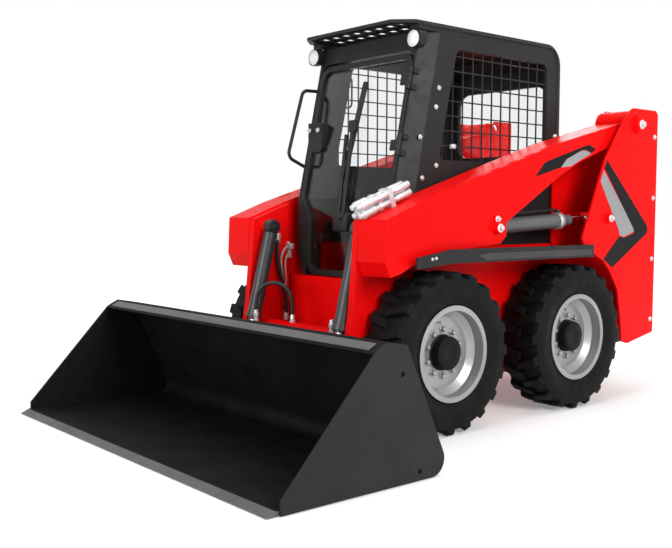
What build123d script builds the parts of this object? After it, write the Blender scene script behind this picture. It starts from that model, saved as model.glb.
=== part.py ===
from build123d import *
import math
import os

# Compact skid-steer loader, millimetres.
# Places along the machine are measured from the rear axle, +X forward, +Y left, +Z up from the ground.
# Side outlines are (x, z) points.

# Wheels
wheelbase = 940
tyre_radius = 376
tyre_width = 235
tyre_chassis_gap = 25
tread_depth = 24
tread_half = 90
tyre_bulge_radius = 285
bead_inset = 26
carcass_facets = 24
lug_count = 20
lug_shoulder_width = 52
lug_centre_width = 38
lug_skew = 40
lug_past_centre = 14
lug_shoulder_depth = 54
lug_edge_drop = 24
rim_radius = 206
rim_flange = 16
rim_wall = 8
flange_inset = 18
flange_thickness = 6
disc_radius = 165
disc_recess = 77
disc_plate = 10
hub_cap_radius = 77
hub_cap_height = 50
hub_cap_wall = 25
hub_sleeve_radius = 60
hub_sleeve_inner = 70
spindle_radius = 40
spindle_end_gap = 5
housing_radius = 55
housing_flange_radius = 80
housing_flange = 15
housing_gap = 2
bead_gap = 0.3
running_gap = 0.05

# Chassis
chassis_half = 400
chassis_plate = 12
chassis_rear_x = -690
chassis_front_x = 1085
chassis_bottom = 190
chassis_top = 852
sill_height = 690
sill_x = 950
upright_chamfer = 45
nose_rise = 75
bumper_depth = 85
bumper_bottom = 255
bumper_top = 420
bumper_fillet = 18
engine_x = (-620, -200)
engine_half = 230
engine_top = 900
engine_foot = 40
engine_foot_height = 90

# Fenders
fender_reach = 257
fender_strip = 12
fender_plate_z = 788
fender_plate = 10
fender_x = (-110, 1040)
fender_strip_outline = ((-110, 788), (985, 788), (1190, 770), (1190, 820), (975, 852), (-110, 852))

# Lift arm towers
tower_plate = 12
tower_rear_x = -720
tower_width = 240
tower_back_z = (360, 1480)
tower_outer_outline = (
    (-459, 1575), (-480, 1585), (-700, 1585), (-720, 1565), (-720, 345), (-469, 300), (-412, 315), (-395, 430),
    (-359, 606), (-284, 704), (-220, 763), (-54, 838), (-30, 881), (-215, 1289), (-405, 1535),
)
tower_inner_outline = (
    (-560, 1590), (-720, 1590), (-720, 345), (-469, 300), (-420, 320), (-359, 606), (-284, 704), (-110, 800),
    (-75, 860), (-75, 1290), (-455, 1482),
)
tower_corner = 15
arch_radius = 452
arch_plate = 8
arch_sector = ((0, 376), (-75, 900), (-500, 900), (-470, 450))
arm_pivot = (-520, 1498)
pivot_pin_radius = 30
pivot_cap_radius = 50
pivot_cap = 14
lift_rod_pin = (-257, 988)
rod_boss_radius = 32
rod_boss_gap = 15
rod_cap_radius = 30
rod_cap = 12
lifting_hole = (-562, 1545)
lifting_hole_radius = 26
tail_lamp_inset = (80, 160)
tail_lamp_z = (1180, 1300)
tail_lamp_depth = 14

# Lift arms
arm_tower_gap = 8
arm_width = 180
arm_plate = 12
arm_outline = (
    (1322, 985), (1100, 1068), (122, 1370), (-421, 1503), (-520, 1530), (-520, 1440), (-35, 1275),
    (116, 1204), (531, 970), (531, 905), (575, 868), (1056, 829), (1240, 748), (1300, 735), (1330, 800),
)
arm_top_points = ((1322, 985), (1100, 1068), (122, 1370), (-421, 1503))
arm_nose_points = ((1240, 748), (1300, 735), (1330, 800), (1322, 985))
arm_hub_radius = 80
lift_barrel_pin = (608, 944)
cylinder_pin_radius = 20
pin_cap_radius = 30
pin_cap = 12
leg_thickness = 35
leg_arm_gap = 5
leg_outline = (
    (1318, 978), (1097, 1059), (1097, 470), (1358, 124), (1376, 114), (1418, 130), (1426, 160),
    (1352, 560), (1335, 740),
)
leg_pad_outline = ((1318, 978), (1112, 1054), (1112, 812), (1240, 752), (1300, 740), (1326, 800))
bucket_pivot = (1388, 150)
bucket_pin_radius = 20
bucket_pin_past = 15
pivot_boss_radius = 38
tilt_top_pin = (1243, 940)
tilt_pin_radius = 18
tilt_boss_radius = 30
tilt_lever = 130
tilt_lever_angle = 82
cross_tube = (1265, 430)
cross_tube_radius = 45
cross_tube_wall = 8

# Quick couplers on the left arm
coupler_radius = 14
coupler_collar_radius = 18
coupler_length = 300
coupler_collar = 70
coupler_inset = (8, 48)
coupler_lift = (24, 62)
coupler_start = -12
coupler_bracket = (150, 176)
coupler_bracket_inset = (4, 66)
coupler_bracket_height = 84

# Cylinders
lift_cylinder_inset = 92
lift_barrel_radius = 38
lift_barrel_length = 690
lift_gland_nose = 85
lift_rod_radius = 20
lift_eye_radius = 42
lift_eye_width = 50
lift_stub = 14
lift_retract_room = 4
tilt_leg_gap = 45
tilt_barrel_radius = 35
tilt_barrel_length = 480
tilt_gland_nose = 12
tilt_rod_radius = 18
tilt_eye_radius = 37
tilt_rod_eye_radius = 33
tilt_eye_width = 46
tilt_stub = 3
tilt_retract_room = 62
barrel_base = 24
gland_length = 24
gland_rim = 5
nose_wall = 8
eye_overlap = 5
eye_gap = 4

# Bucket and its carrier
bucket_half = 1054
bucket_side_plate = 10
bucket_sheet = 10
bucket_tip_x = 2279
bucket_bottom = 4
bucket_corner_x = 1399
bucket_heel_radius = 65
bucket_back_top = (1641, 528)
bucket_lip_top = (1737, 545)
bucket_lip_front = (1796, 515)
edge_bar_depth = 130
edge_bar_thickness = 18
edge_bar_bevel = 40
side_edge_x = 2225
side_edge_height = 53
side_hole_radius = 11
side_holes = ((1664, 421), (1570, 39))
carrier_past_leg = 145
carrier_plate = 24
carrier_span = (80, 520)
carrier_ear_span = (100, 260, 400)
ear_plate = 12
ear_rim = 40

# Cab
cab_tower_gap = 8
cab_wall = 25
cab_rear_x = -150
deck_plate = 8
deck_front_x = 640
floor_height = 600
floor_inset = 30
roof_underside = 1868
roof_thickness = 40
roof_front_x = 925
visor_plan = ((850, 52), (850, 0), (950, 0), (1035, 82))
visor_plate = 8
visor_lip = (12, 16)
visor_rear_x = 797
visor_side_inset = 62
roof_corner = 110
roof_bevel = (30, 12)
visor_slot = (55, 56)
visor_pitch = (97, 80)
visor_slot_x = 958
visor_columns = 8
front_bend = (1052, 1085)
front_foot_x = 1058
front_slope = -147 / 690
front_taper_z = 920
front_foot_inset = 80
pillar_depth = 100
pillar_width = 45
pillar_front_inset = 36
window_x = (-35, 790, 668)
window_sill = 1262
window_head_drop = 68
window_corner = 40
screen_thickness = 6
screen_pitch = 72
screen_wire = 6
rear_window_border = 72
rear_window_sill = 1335
rear_window_head_drop = 163
rear_window_corner = 70
door_gap = 5
door_head_gap = 12
door_thickness = 35
door_bottom = 696
door_head_drop = 98
door_foot_inset = 57
door_taper_z = (985, 1100)
door_corner = 70
light_corner = 45
door_border = 28
glass_thickness = 6
glass_depth = 14
glass_gap = 0.2
hinge_stand_off = 16
hinge_radius = 13
hinge_pin_radius = 7
hinge_drops = (440, 130)
lock_box = (110, 30, 150)
lock_height = 1400
lock_round = 24
rail_radius = 9
rail_inset = 12
# The grab rail's corners: ahead of the cab's front, below the roof
rail_route = ((-85.9913, 215), (73.3696, 218), (99.8043, 568), (-86.5348, 640))
rail_bend = 40
lamp_width = 88
lamp_past_cab = 20
lamp_drop = (84, 4)
lamp_reach = 36.9174
lamp_round = 28
lamp_bezel = 8
lamp_recess = 6
lens_bulge = 5

# Seat and levers
seat_half = 240
seat_x = (130, 560)
seat_cushion = 100
seat_back_height = 400
seat_back_thickness = 110
seat_back_lean = 60
seat_round = 35
lever_x = 700
lever_inset = 100
lever_radius = 12
lever_height = 430
grip_radius = 22
grip_height = 110

# Hood and rear door
hood_front_x = -175
hood_rear_x = -706
hood_top = 1216
hood_plate = 26
hood_gap = 8
hood_bevel = 12
hood_hinge = (-195, 1203)
hood_pin_radius = 10
hood_pin_reach = 11
rear_door_gap = 6
rear_door_bottom = 432
rear_door_top = 1180
rear_door_thickness = 30
rear_door_rear_x = -745
louvre_border = 104
louvre_start = 130
louvre_pitch = 62
louvre_height = 34
louvre_count = 9
rear_hinge_x = -757
rear_hinge_past = 10
rear_hinge_heights = (560, 1040)
rear_knuckle_radius = 13
rear_knuckle_length = 62
rear_pin_radius = 6

tyre_half = tyre_width / 2
tyre_outer_y = chassis_half + tyre_chassis_gap + tyre_width
fender_outer_y = chassis_half + fender_reach
tower_outer_y = chassis_half + tower_width
wheel_y = tyre_outer_y - tyre_half
rear_end_x = chassis_rear_x - bumper_depth
frame_shift = -(bucket_tip_x + rear_end_x) / 2
tower_near = chassis_half + tower_plate
tower_far = tower_outer_y - tower_plate
arm_inner_y = tower_near + arm_tower_gap
arm_outer_y = arm_inner_y + arm_width
leg_outer_y = arm_inner_y - leg_arm_gap
leg_inner_y = leg_outer_y - leg_thickness
lift_cylinder_y = arm_inner_y + lift_cylinder_inset
tilt_cylinder_y = leg_inner_y - tilt_leg_gap
carrier_half = leg_outer_y + carrier_past_leg
coupler_y = tuple(arm_inner_y + inset for inset in coupler_inset)
coupler_bracket_y = tuple(arm_inner_y + inset for inset in coupler_bracket_inset)
tail_lamp_y = tuple(chassis_half + inset for inset in tail_lamp_inset)
cab_half = chassis_half - cab_tower_gap
visor_outline = [(x, cab_half - inset) for x, inset in visor_plan]
visor_side = cab_half - visor_side_inset
rail_y = rail_inset - cab_half
lamp_y = (cab_half + lamp_past_cab - lamp_width, cab_half + lamp_past_cab)
floor_half = chassis_half - floor_inset
front_foot_half = cab_half - front_foot_inset
pillar_front_half = cab_half - pillar_front_inset
rear_window_half = cab_half - rear_window_border
hood_half = chassis_half - hood_gap
rear_door_half = chassis_half - rear_door_gap
louvre_half = rear_door_half - louvre_border
rear_hinge = (rear_hinge_x, rear_door_half + rear_hinge_past)
lever_place = (lever_x, floor_half - lever_inset)
deck_top = chassis_top + deck_plate
roof_top = roof_underside + roof_thickness
door_top = roof_underside - door_head_drop
hinge_heights = tuple(door_top - drop for drop in hinge_drops)
door_half = cab_half - pillar_width - door_gap
door_foot_half = door_half - door_foot_inset
bucket_back_dir = (bucket_back_top[0] - bucket_corner_x, bucket_back_top[1] - bucket_bottom)


def slab(points, y_low, y_high, radius=0):
    """A plate with this side outline, from y_low to y_high."""
    if radius:
        outline = FilletPolyline(*points, radius=radius, close=True)
    else:
        outline = Polyline(*points, close=True)
    return extrude(Plane.XZ.offset(-y_low) * make_face(outline), amount=y_low - y_high)


def disc(place, radius, y_low, y_high):
    """A round piece about an axis along Y."""
    sketch = Plane.XZ.offset(-y_low) * (Pos(*place) * Circle(radius))
    return extrude(sketch, amount=y_low - y_high)


def block(x_low, x_high, y_low, y_high, z_low, z_high):
    centre = ((x_low + x_high) / 2, (y_low + y_high) / 2, (z_low + z_high) / 2)
    return Pos(*centre) * Box(x_high - x_low, y_high - y_low, z_high - z_low)


def front_prism(points, radius=0):
    """A prism along X with this front outline of (y, z) points."""
    if radius:
        outline = FilletPolyline(*points, radius=radius, close=True)
    else:
        outline = Polyline(*points, close=True)
    start = cab_rear_x - roof_corner
    return extrude(Plane.YZ.offset(start) * make_face(outline), amount=bucket_tip_x - start)


def inside_line(points, thickness):
    """The same line of points moved to its left by thickness."""
    normals = []
    for (x0, z0), (x1, z1) in zip(points, points[1:]):
        length = math.dist((x0, z0), (x1, z1))
        normals.append(((z0 - z1) / length, (x1 - x0) / length))
    moved = []
    for index, (x, z) in enumerate(points):
        before = normals[max(index - 1, 0)]
        after = normals[min(index, len(normals) - 1)]
        share = thickness / (1 + before[0] * after[0] + before[1] * after[1])
        moved.append((x + share * (before[0] + after[0]), z + share * (before[1] + after[1])))
    return moved


def sheet_along(points, thickness, y_low, y_high):
    """A bent sheet whose inside lies to the left of a line of (x, z) points."""
    return slab(list(points) + inside_line(points, thickness)[::-1], y_low, y_high)


def run(start, end, y):
    """A plane at start, square to the line towards end."""
    return Plane(origin=(start[0], y, start[1]), z_dir=(end[0] - start[0], 0, end[1] - start[1]))


def other_side(piece):
    return mirror(piece, about=Plane.XZ)


def both_sides(piece):
    return Compound([piece, other_side(piece)])


def write(name, piece):
    export_step(Pos(frame_shift, 0, 0) * piece, "parts/" + name + ".step")


# Tyre and rim, about Y with the outer face at +Y

def faceted_ring(levels):
    """A solid about Y with flat facets, through levels of (radius to the flats, y)."""
    sections = []
    for radius, y in levels:
        flats = RegularPolygon(radius, carcass_facets, major_radius=False, rotation=180 / carcass_facets)
        sections.append(Plane.XZ.offset(-y) * flats)
    return loft(sections, ruled=True)


def tyre_solid():
    base = tyre_radius - tread_depth
    bead = rim_radius + bead_gap
    carcass = faceted_ring([
        (tyre_bulge_radius, -tyre_half), (base, -tread_half), (base, tread_half), (tyre_bulge_radius, tyre_half)])
    carcass = carcass - faceted_ring([(bead, -tyre_half - 1), (bead, tyre_half + 1)])
    dish_slope = (tyre_bulge_radius - bead) / bead_inset
    dish = faceted_ring([(bead, tyre_half - bead_inset), (tyre_bulge_radius + dish_slope, tyre_half + 1)])
    carcass = carcass - dish - other_side(dish)
    # One lug from its plan and its section, with its corners on the tyre's radius
    lead = lug_skew / 2
    half_span = lug_shoulder_width / 2 + lead
    height = math.sqrt(tyre_radius ** 2 - half_span ** 2)
    plan = [
        (-lug_shoulder_width / 2 - lead, tyre_half), (lug_shoulder_width / 2 - lead, tyre_half),
        (lead + lug_centre_width / 2, -lug_past_centre), (lead - lug_centre_width / 2, -lug_past_centre),
    ]
    shoulder = base - lug_shoulder_depth
    cone_y = tyre_half - (shoulder - tyre_bulge_radius) * (tyre_half - tread_half) / (base - tyre_bulge_radius)
    section = [
        (-lug_past_centre, base - tread_depth), (tread_half, base - tread_depth - lug_shoulder_depth),
        (cone_y, shoulder), (tyre_half, tyre_radius - lug_edge_drop), (tyre_half, height),
        (-lug_past_centre, height),
    ]
    lug = extrude(Plane.XY.offset(rim_radius) * make_face(Polyline(*plan, close=True)), amount=tyre_radius)
    face = make_face(Polyline(*section, close=True))
    lug = lug & extrude(Plane.YZ.offset(-tyre_half) * face, amount=tyre_width)
    pitch = 360 / lug_count
    lugs = []
    for step in range(lug_count):
        lugs.append(Rot(0, step * pitch, 0) * lug)
        lugs.append(Rot(0, (step + 0.5) * pitch, 0) * other_side(lug))
    return carcass + lugs


def rim_face_y():
    """The wheel disc's outer face, from the wheel's middle."""
    return tyre_half - flange_inset + flange_thickness - disc_recess


def rim_solid():
    flange = tyre_half - flange_inset
    lip = rim_radius + rim_flange
    inner = rim_radius - rim_wall
    face = rim_face_y()
    cap = face + hub_cap_height
    bore = spindle_radius + running_gap
    section = [
        (lip, flange + flange_thickness), (lip, flange + bead_gap), (rim_radius, flange + bead_gap),
        (rim_radius, -flange - bead_gap), (lip, -flange - bead_gap), (lip, -flange - flange_thickness),
        (inner, -flange - flange_thickness), (inner, face - 3 * disc_plate), (disc_radius, face - disc_plate),
        (hub_sleeve_radius, face - disc_plate), (hub_sleeve_radius, -hub_sleeve_inner),
        (bore, -hub_sleeve_inner),
        (bore, cap - hub_cap_wall), (0, cap - hub_cap_wall), (0, cap), (hub_cap_radius - rim_wall, cap),
        (hub_cap_radius, cap - rim_wall), (hub_cap_radius, face), (disc_radius, face),
        (inner, face + 3 * rim_wall), (inner, flange + flange_thickness),
    ]
    return revolve(make_face(Polyline(*section, close=True)), axis=Axis.Y)


def wheels():
    tyre = tyre_solid()
    rim = rim_solid()
    for end, x in (("front", wheelbase), ("rear", 0)):
        for side, sign in (("left", 1), ("right", -1)):
            place = Pos(x, sign * wheel_y, tyre_radius)
            for kind, piece in (("tyre", tyre), ("rim", rim)):
                turned = piece if sign > 0 else other_side(piece)
                write(kind + "_" + end + "_" + side, place * turned)


def axle_housings():
    spindle_end = wheel_y + rim_face_y() + hub_cap_height - hub_cap_wall - spindle_end_gap
    shoulder = wheel_y - hub_sleeve_inner - housing_gap
    pieces = []
    for x in (0, wheelbase):
        hub = (x, tyre_radius)
        housing = disc(hub, housing_flange_radius, chassis_half, chassis_half + housing_flange)
        housing = housing + disc(hub, housing_radius, chassis_half + housing_flange, shoulder)
        housing = housing + disc(hub, spindle_radius, shoulder, spindle_end)
        pieces += [housing, other_side(housing)]
    write("axle_housings", Compound(pieces))


# Chassis

def main_frame():
    nose_x = chassis_front_x - nose_rise
    nose_z = chassis_bottom + nose_rise
    belly = [(chassis_rear_x, chassis_bottom), (nose_x, chassis_bottom), (chassis_front_x, nose_z)]
    side = belly + [
        (chassis_front_x, chassis_top - upright_chamfer), (chassis_front_x - upright_chamfer, chassis_top),
        (chassis_rear_x, chassis_top),
    ]
    inner = chassis_half - chassis_plate
    left = slab(side, inner, chassis_half)
    pan = belly + [(chassis_front_x, sill_height), (sill_x, sill_height)]
    floor = sheet_along(pan, chassis_plate, -inner, inner)
    write("main_frame", left + other_side(left) + floor)
    bumper = block(rear_end_x, chassis_rear_x, -chassis_half, chassis_half, bumper_bottom, bumper_top)
    bumper = fillet(bumper.edges().filter_by(Axis.Y).group_by(Axis.X)[0], bumper_fillet)
    write("rear_bumper", bumper)


def engine():
    floor = chassis_bottom + chassis_plate
    x_low, x_high = engine_x
    unit = block(x_low, x_high, -engine_half, engine_half, floor + engine_foot_height, engine_top)
    for x in (x_low + engine_foot, x_high - 2 * engine_foot):
        for y in (-engine_half + engine_foot, engine_half - 2 * engine_foot):
            unit = unit + block(x, x + engine_foot, y, y + engine_foot, floor, floor + engine_foot_height)
    write("engine", unit)


def fenders():
    x_low, x_high = fender_x
    plate = block(x_low, x_high, chassis_half, fender_outer_y, fender_plate_z, fender_plate_z + fender_plate)
    strip = slab(fender_strip_outline, fender_outer_y - fender_strip, fender_outer_y)
    write("fenders", both_sides(plate + strip))


def towers():
    eye_half = lift_eye_width / 2 + rod_boss_gap
    # Outer plates with the arm pivot pins
    outer = slab(tower_outer_outline, tower_far, tower_outer_y, radius=tower_corner)
    outer = outer + disc(arm_pivot, pivot_pin_radius, tower_near, tower_far)
    outer = outer + disc(arm_pivot, pivot_cap_radius, tower_outer_y, tower_outer_y + pivot_cap)
    outer = outer + disc(lift_rod_pin, rod_boss_radius, lift_cylinder_y + eye_half, tower_far)
    outer = outer + disc(lift_rod_pin, rod_cap_radius, tower_outer_y, tower_outer_y + rod_cap)
    write("tower_outer_plates", both_sides(outer))
    # Inner plates with the lifting holes, the hood's pins and the rear door's pins
    inner = slab(tower_inner_outline, chassis_half, tower_near)
    inner = inner - disc(lifting_hole, lifting_hole_radius, chassis_half - 1, tower_near + 1)
    inner = inner + disc(lift_rod_pin, rod_boss_radius, tower_near, lift_cylinder_y - eye_half)
    inner = inner + disc(hood_hinge, hood_pin_radius, hood_half - hood_pin_reach, chassis_half)
    left = inner
    hinge_x, hinge_y = rear_hinge
    lug_half = rear_pin_radius + 4
    lug_middle = rear_knuckle_length / 2 + lug_half + 1
    for z in rear_hinge_heights:
        left = left + Pos(hinge_x, hinge_y, z) * Cylinder(rear_pin_radius, 2 * (lug_middle + lug_half))
        for middle in (z - lug_middle, z + lug_middle):
            left = left + block(hinge_x - 2 * rear_pin_radius, tower_rear_x + 2, hinge_y - rear_pin_radius,
                                hinge_y + rear_pin_radius, middle - lug_half, middle + lug_half)
    write("tower_inner_plates", Compound([left, other_side(inner)]))
    # Rear strips and the wheel arches between the plates
    low, high = tower_back_z
    strip = block(tower_rear_x, tower_rear_x + tower_plate, tower_near, tower_far, low, high)
    hub = (0, tyre_radius)
    arch = disc(hub, arch_radius + arch_plate, tower_near, tower_far)
    arch = arch - disc(hub, arch_radius, tower_near, tower_far)
    arch = arch & slab(arch_sector, tower_near, tower_far)
    write("tower_backs", Compound([strip, other_side(strip), arch, other_side(arch)]))
    lamp = block(tower_rear_x - tail_lamp_depth, tower_rear_x, *tail_lamp_y, *tail_lamp_z)
    write("tail_lamps", both_sides(lamp))


# Hood and rear door

def covers():
    hood = block(hood_rear_x, hood_front_x, -hood_half, hood_half, hood_top - hood_plate, hood_top)
    hood = chamfer(hood.faces().sort_by(Axis.Z)[-1].edges(), hood_bevel)
    bore = disc(hood_hinge, hood_pin_radius + running_gap, hood_half - hood_pin_reach - 1, hood_half + 1)
    write("engine_hood", hood - bore - other_side(bore))
    front_face = rear_door_rear_x + rear_door_thickness
    door = block(rear_door_rear_x, front_face, -rear_door_half, rear_door_half, rear_door_bottom, rear_door_top)
    for row in range(louvre_count):
        z = rear_door_bottom + louvre_start + row * louvre_pitch
        door = door - block(rear_door_rear_x - 1, front_face + 1, -louvre_half, louvre_half, z, z + louvre_height)
    hinge_x, hinge_y = rear_hinge
    for z in rear_hinge_heights:
        line = Pos(hinge_x, hinge_y, z)
        web = block(hinge_x - rear_pin_radius, rear_door_rear_x + 2, hinge_y - 2 * rear_knuckle_radius, hinge_y,
                    z - rear_knuckle_length / 2, z + rear_knuckle_length / 2)
        door = door + line * Cylinder(rear_knuckle_radius, rear_knuckle_length) + web
        door = door - line * Cylinder(rear_pin_radius + running_gap, rear_knuckle_length + 2)
    write("rear_door", door)


# Cab

def front_x(z):
    """Where the bent front of the cab lies at this height."""
    bend_x, bend_z = front_bend
    if z < bend_z:
        return front_foot_x + (bend_x - front_foot_x) * (z - sill_height) / (bend_z - sill_height)
    return bend_x + (z - bend_z) * front_slope


def front_profile(depth_low, depth_high, foot, head):
    """Side outline of a piece that follows the bent front, between two depths behind its face."""
    heights = [foot, front_bend[1], head]
    near = [(front_x(z) - depth_low, z) for z in heights]
    back = [(front_x(z) - depth_high, z) for z in reversed(heights)]
    return near + back


def door_outline(inset, foot, head):
    """Front outline of the door, drawn in by inset, with its foot narrowed to swing between the cylinders."""
    half = door_half - inset
    foot_half = door_foot_half - inset
    taper_low, taper_high = door_taper_z
    left = [(half, head), (half, taper_high), (foot_half, taper_low), (foot_half, foot)]
    return left + [(-y, z) for y, z in reversed(left)]


def cab():
    inner = cab_half - cab_wall
    inner_corner = roof_corner - roof_thickness
    rear_inside = cab_rear_x + cab_wall
    eave = roof_underside - inner_corner
    front_edge = [(front_x(z) - pillar_depth, z) for z in (deck_top, front_bend[1], roof_underside)]
    rear_edge = [(rear_inside + inner_corner, roof_underside), (rear_inside, eave), (rear_inside, deck_top)]
    side_outline = front_edge + rear_edge
    window_rear, window_foot, window_head = window_x
    head = roof_underside - window_head_drop
    window = [(window_rear, window_sill), (window_foot, window_sill), (window_head, head), (window_rear, head)]
    side = slab(side_outline, inner, cab_half) - slab(window, inner - 1, cab_half + 1, radius=window_corner)
    write("cab_sides", both_sides(side))
    # Wire screens in the side windows
    screen_y = cab_half - 2 * screen_thickness
    screen = slab(window, screen_y, screen_y + screen_thickness, radius=window_corner)
    columns = math.ceil((window_foot - window_rear) / screen_pitch)
    rows = math.ceil((head - window_sill) / screen_pitch)
    hole = screen_pitch - screen_wire
    cells = []
    for column in range(columns):
        for row in range(rows):
            x = window_rear + screen_wire + column * screen_pitch
            z = window_sill + screen_wire + row * screen_pitch
            cells.append(block(x, x + hole, inner, cab_half, z, z + hole))
    write("side_screens", both_sides(screen - cells))
    roof()
    # Rear wall and its window
    rear = block(cab_rear_x, rear_inside, -cab_half, cab_half, deck_top, eave)
    head = roof_underside - rear_window_head_drop
    light = Pos(0, (rear_window_sill + head) / 2) * RectangleRounded(
        2 * rear_window_half, head - rear_window_sill, rear_window_corner)
    pane = Pos(0, (rear_window_sill + head) / 2) * RectangleRounded(
        2 * (rear_window_half - glass_gap), head - rear_window_sill - 2 * glass_gap,
        rear_window_corner - glass_gap)
    write("cab_rear", rear - extrude(Plane.YZ.offset(cab_rear_x - 1) * light, amount=cab_wall + 2))
    write("rear_glass", extrude(Plane.YZ.offset(cab_rear_x + cab_wall / 3) * pane, amount=glass_thickness))
    deck = block(cab_rear_x, deck_front_x, -cab_half, cab_half, chassis_top, deck_top)
    riser = block(deck_front_x - deck_plate, deck_front_x, -floor_half, floor_half, floor_height, chassis_top)
    floor = block(deck_front_x - deck_plate, chassis_front_x - chassis_plate, -floor_half, floor_half,
                  floor_height - deck_plate, floor_height)
    write("cab_floor", deck + riser + floor)


def roof():
    """Roof with a rounded rear edge and a slotted visor over the door."""
    bevel_x, bevel_z = roof_bevel
    inner_corner = roof_corner - roof_thickness
    rear_inside = cab_rear_x + cab_wall
    with BuildSketch(Plane.XZ.offset(cab_half)) as section:
        with BuildLine():
            Polyline((roof_front_x, roof_underside), (roof_front_x, roof_top - bevel_z),
                     (roof_front_x - bevel_x, roof_top), (cab_rear_x + roof_corner, roof_top))
            RadiusArc((cab_rear_x + roof_corner, roof_top), (cab_rear_x, roof_top - roof_corner), -roof_corner)
            Polyline((cab_rear_x, roof_top - roof_corner), (rear_inside, roof_underside - inner_corner),
                     (rear_inside + inner_corner, roof_underside), (roof_front_x, roof_underside))
        make_face()
    shell = extrude(section.sketch, amount=-2 * cab_half)
    # The visor's thin plate with its lip, open below to let light through the slots
    lip_depth, lip_height = visor_lip
    plan = visor_outline + [(x, -y) for x, y in reversed(visor_outline)]
    outline = make_face(Polyline(*plan, close=True))
    brim = extrude(Plane.XY.offset(roof_top - lip_height) * outline, amount=lip_height)
    plate_low = roof_top - visor_plate
    brim_x, brim_y = visor_outline[-1]
    hollow = [(visor_rear_x, visor_side), (roof_front_x, visor_side), (brim_x - lip_depth, brim_y - lip_depth)]
    hollow = hollow + [(x, -y) for x, y in reversed(hollow)]
    pocket = extrude(Plane.XY.offset(roof_underside - 1) * make_face(Polyline(*hollow, close=True)),
                     amount=plate_low - roof_underside + 1)
    depth, width = visor_slot
    row_pitch, column_pitch = visor_pitch
    slots = []
    for row in range(2):
        for column in range(visor_columns):
            x = visor_slot_x - row * row_pitch
            y = (column - visor_columns / 2) * column_pitch + (column_pitch - width) / 2
            slots.append(block(x - depth, x, y, y + width, plate_low - 1, roof_top + 1))
    write("cab_roof", shell + brim - pocket - slots)


def cab_front():
    """Front frame round the doorway, with the door's hinge lugs and a grab rail."""
    outer = [(cab_half, roof_underside), (cab_half, front_taper_z), (front_foot_half, sill_height)]
    outer = outer + [(-y, z) for y, z in reversed(outer)]
    frame = slab(front_profile(0, pillar_depth, sill_height, roof_underside), -cab_half, cab_half)
    frame = frame & front_prism(outer)
    doorway = door_outline(-door_gap, sill_height - 2 * door_corner, door_top + door_head_gap)
    frame = frame - front_prism(doorway, radius=door_corner)
    for corner in pillar_corners():
        frame = frame - corner - other_side(corner)
    for lug in hinge_pieces()[1]:
        frame = frame + lug
    heights = [roof_underside - drop for ahead, drop in rail_route]
    corners = [(front_x(z) + ahead, rail_y, z) for z, (ahead, drop) in zip(heights, rail_route)]
    route = FilletPolyline(*corners, radius=rail_bend)
    rail = sweep(Plane(origin=route @ 0, z_dir=route % 0) * Circle(rail_radius), path=route)
    write("cab_front", frame + rail)


def pillar_corners():
    """What the left post loses outside, so that it narrows from the cab's side towards the door."""
    bend_x, bend_z = front_bend
    ahead = 2
    taper = (cab_half - pillar_front_half) / pillar_depth
    wide = cab_half + 1
    triangle = [
        (bend_x + ahead, pillar_front_half - ahead * taper), (bend_x + ahead, wide),
        (bend_x - (wide - pillar_front_half) / taper, wide),
    ]
    face = Plane.XY.offset(bend_z) * make_face(Polyline(*triangle, close=True))
    corners = []
    for end_x, end_z in ((front_x(roof_underside), roof_underside), (front_foot_x, sill_height)):
        along = (end_x - bend_x, 0, end_z - bend_z)
        corners.append(extrude(face, amount=math.hypot(along[0], along[2]) + ahead, dir=along))
    return corners


def hinge_plane(z):
    """A plane on the door's hinge line at this height, its local Z along the line."""
    length = math.hypot(1, front_slope)
    x = front_bend[0] + (z - front_bend[1]) * front_slope + hinge_stand_off / length
    z_out = z - hinge_stand_off * front_slope / length
    return Plane(origin=(x, door_half + 2 * door_gap - 2, z_out), x_dir=(0, 1, 0), z_dir=(front_slope, 0, 1))


def hinge_pieces():
    """Door knuckles, the posts' lugs with their pins, and the knuckles' bores."""
    knuckle_height = 50
    lug_height = 26
    lug_reach = 22
    lug_depth = 32
    lug_front = 5
    lug_middle = (knuckle_height + lug_height) / 2 + 1
    seat = hinge_stand_off - 4
    knuckles = []
    bores = []
    lugs = []
    for z in hinge_heights:
        line = hinge_plane(z)
        web = Pos(-35, seat, 0) * Box(58, 12, knuckle_height)
        knuckles.append(line * Cylinder(hinge_radius, knuckle_height) + line * web)
        bores.append(line * Cylinder(hinge_pin_radius + running_gap, knuckle_height + 10))
        lug = line * Cylinder(hinge_pin_radius, 2 * lug_middle + lug_height)
        for middle in (-lug_middle, lug_middle):
            lug = lug + line * (Pos(0, 0, middle) * Cylinder(hinge_radius, lug_height))
            spot = Pos(lug_reach / 2, lug_front + lug_depth / 2, middle)
            lug = lug + line * (spot * Box(lug_reach, lug_depth, lug_height))
        lugs.append(lug)
    return knuckles, lugs, bores


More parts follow.
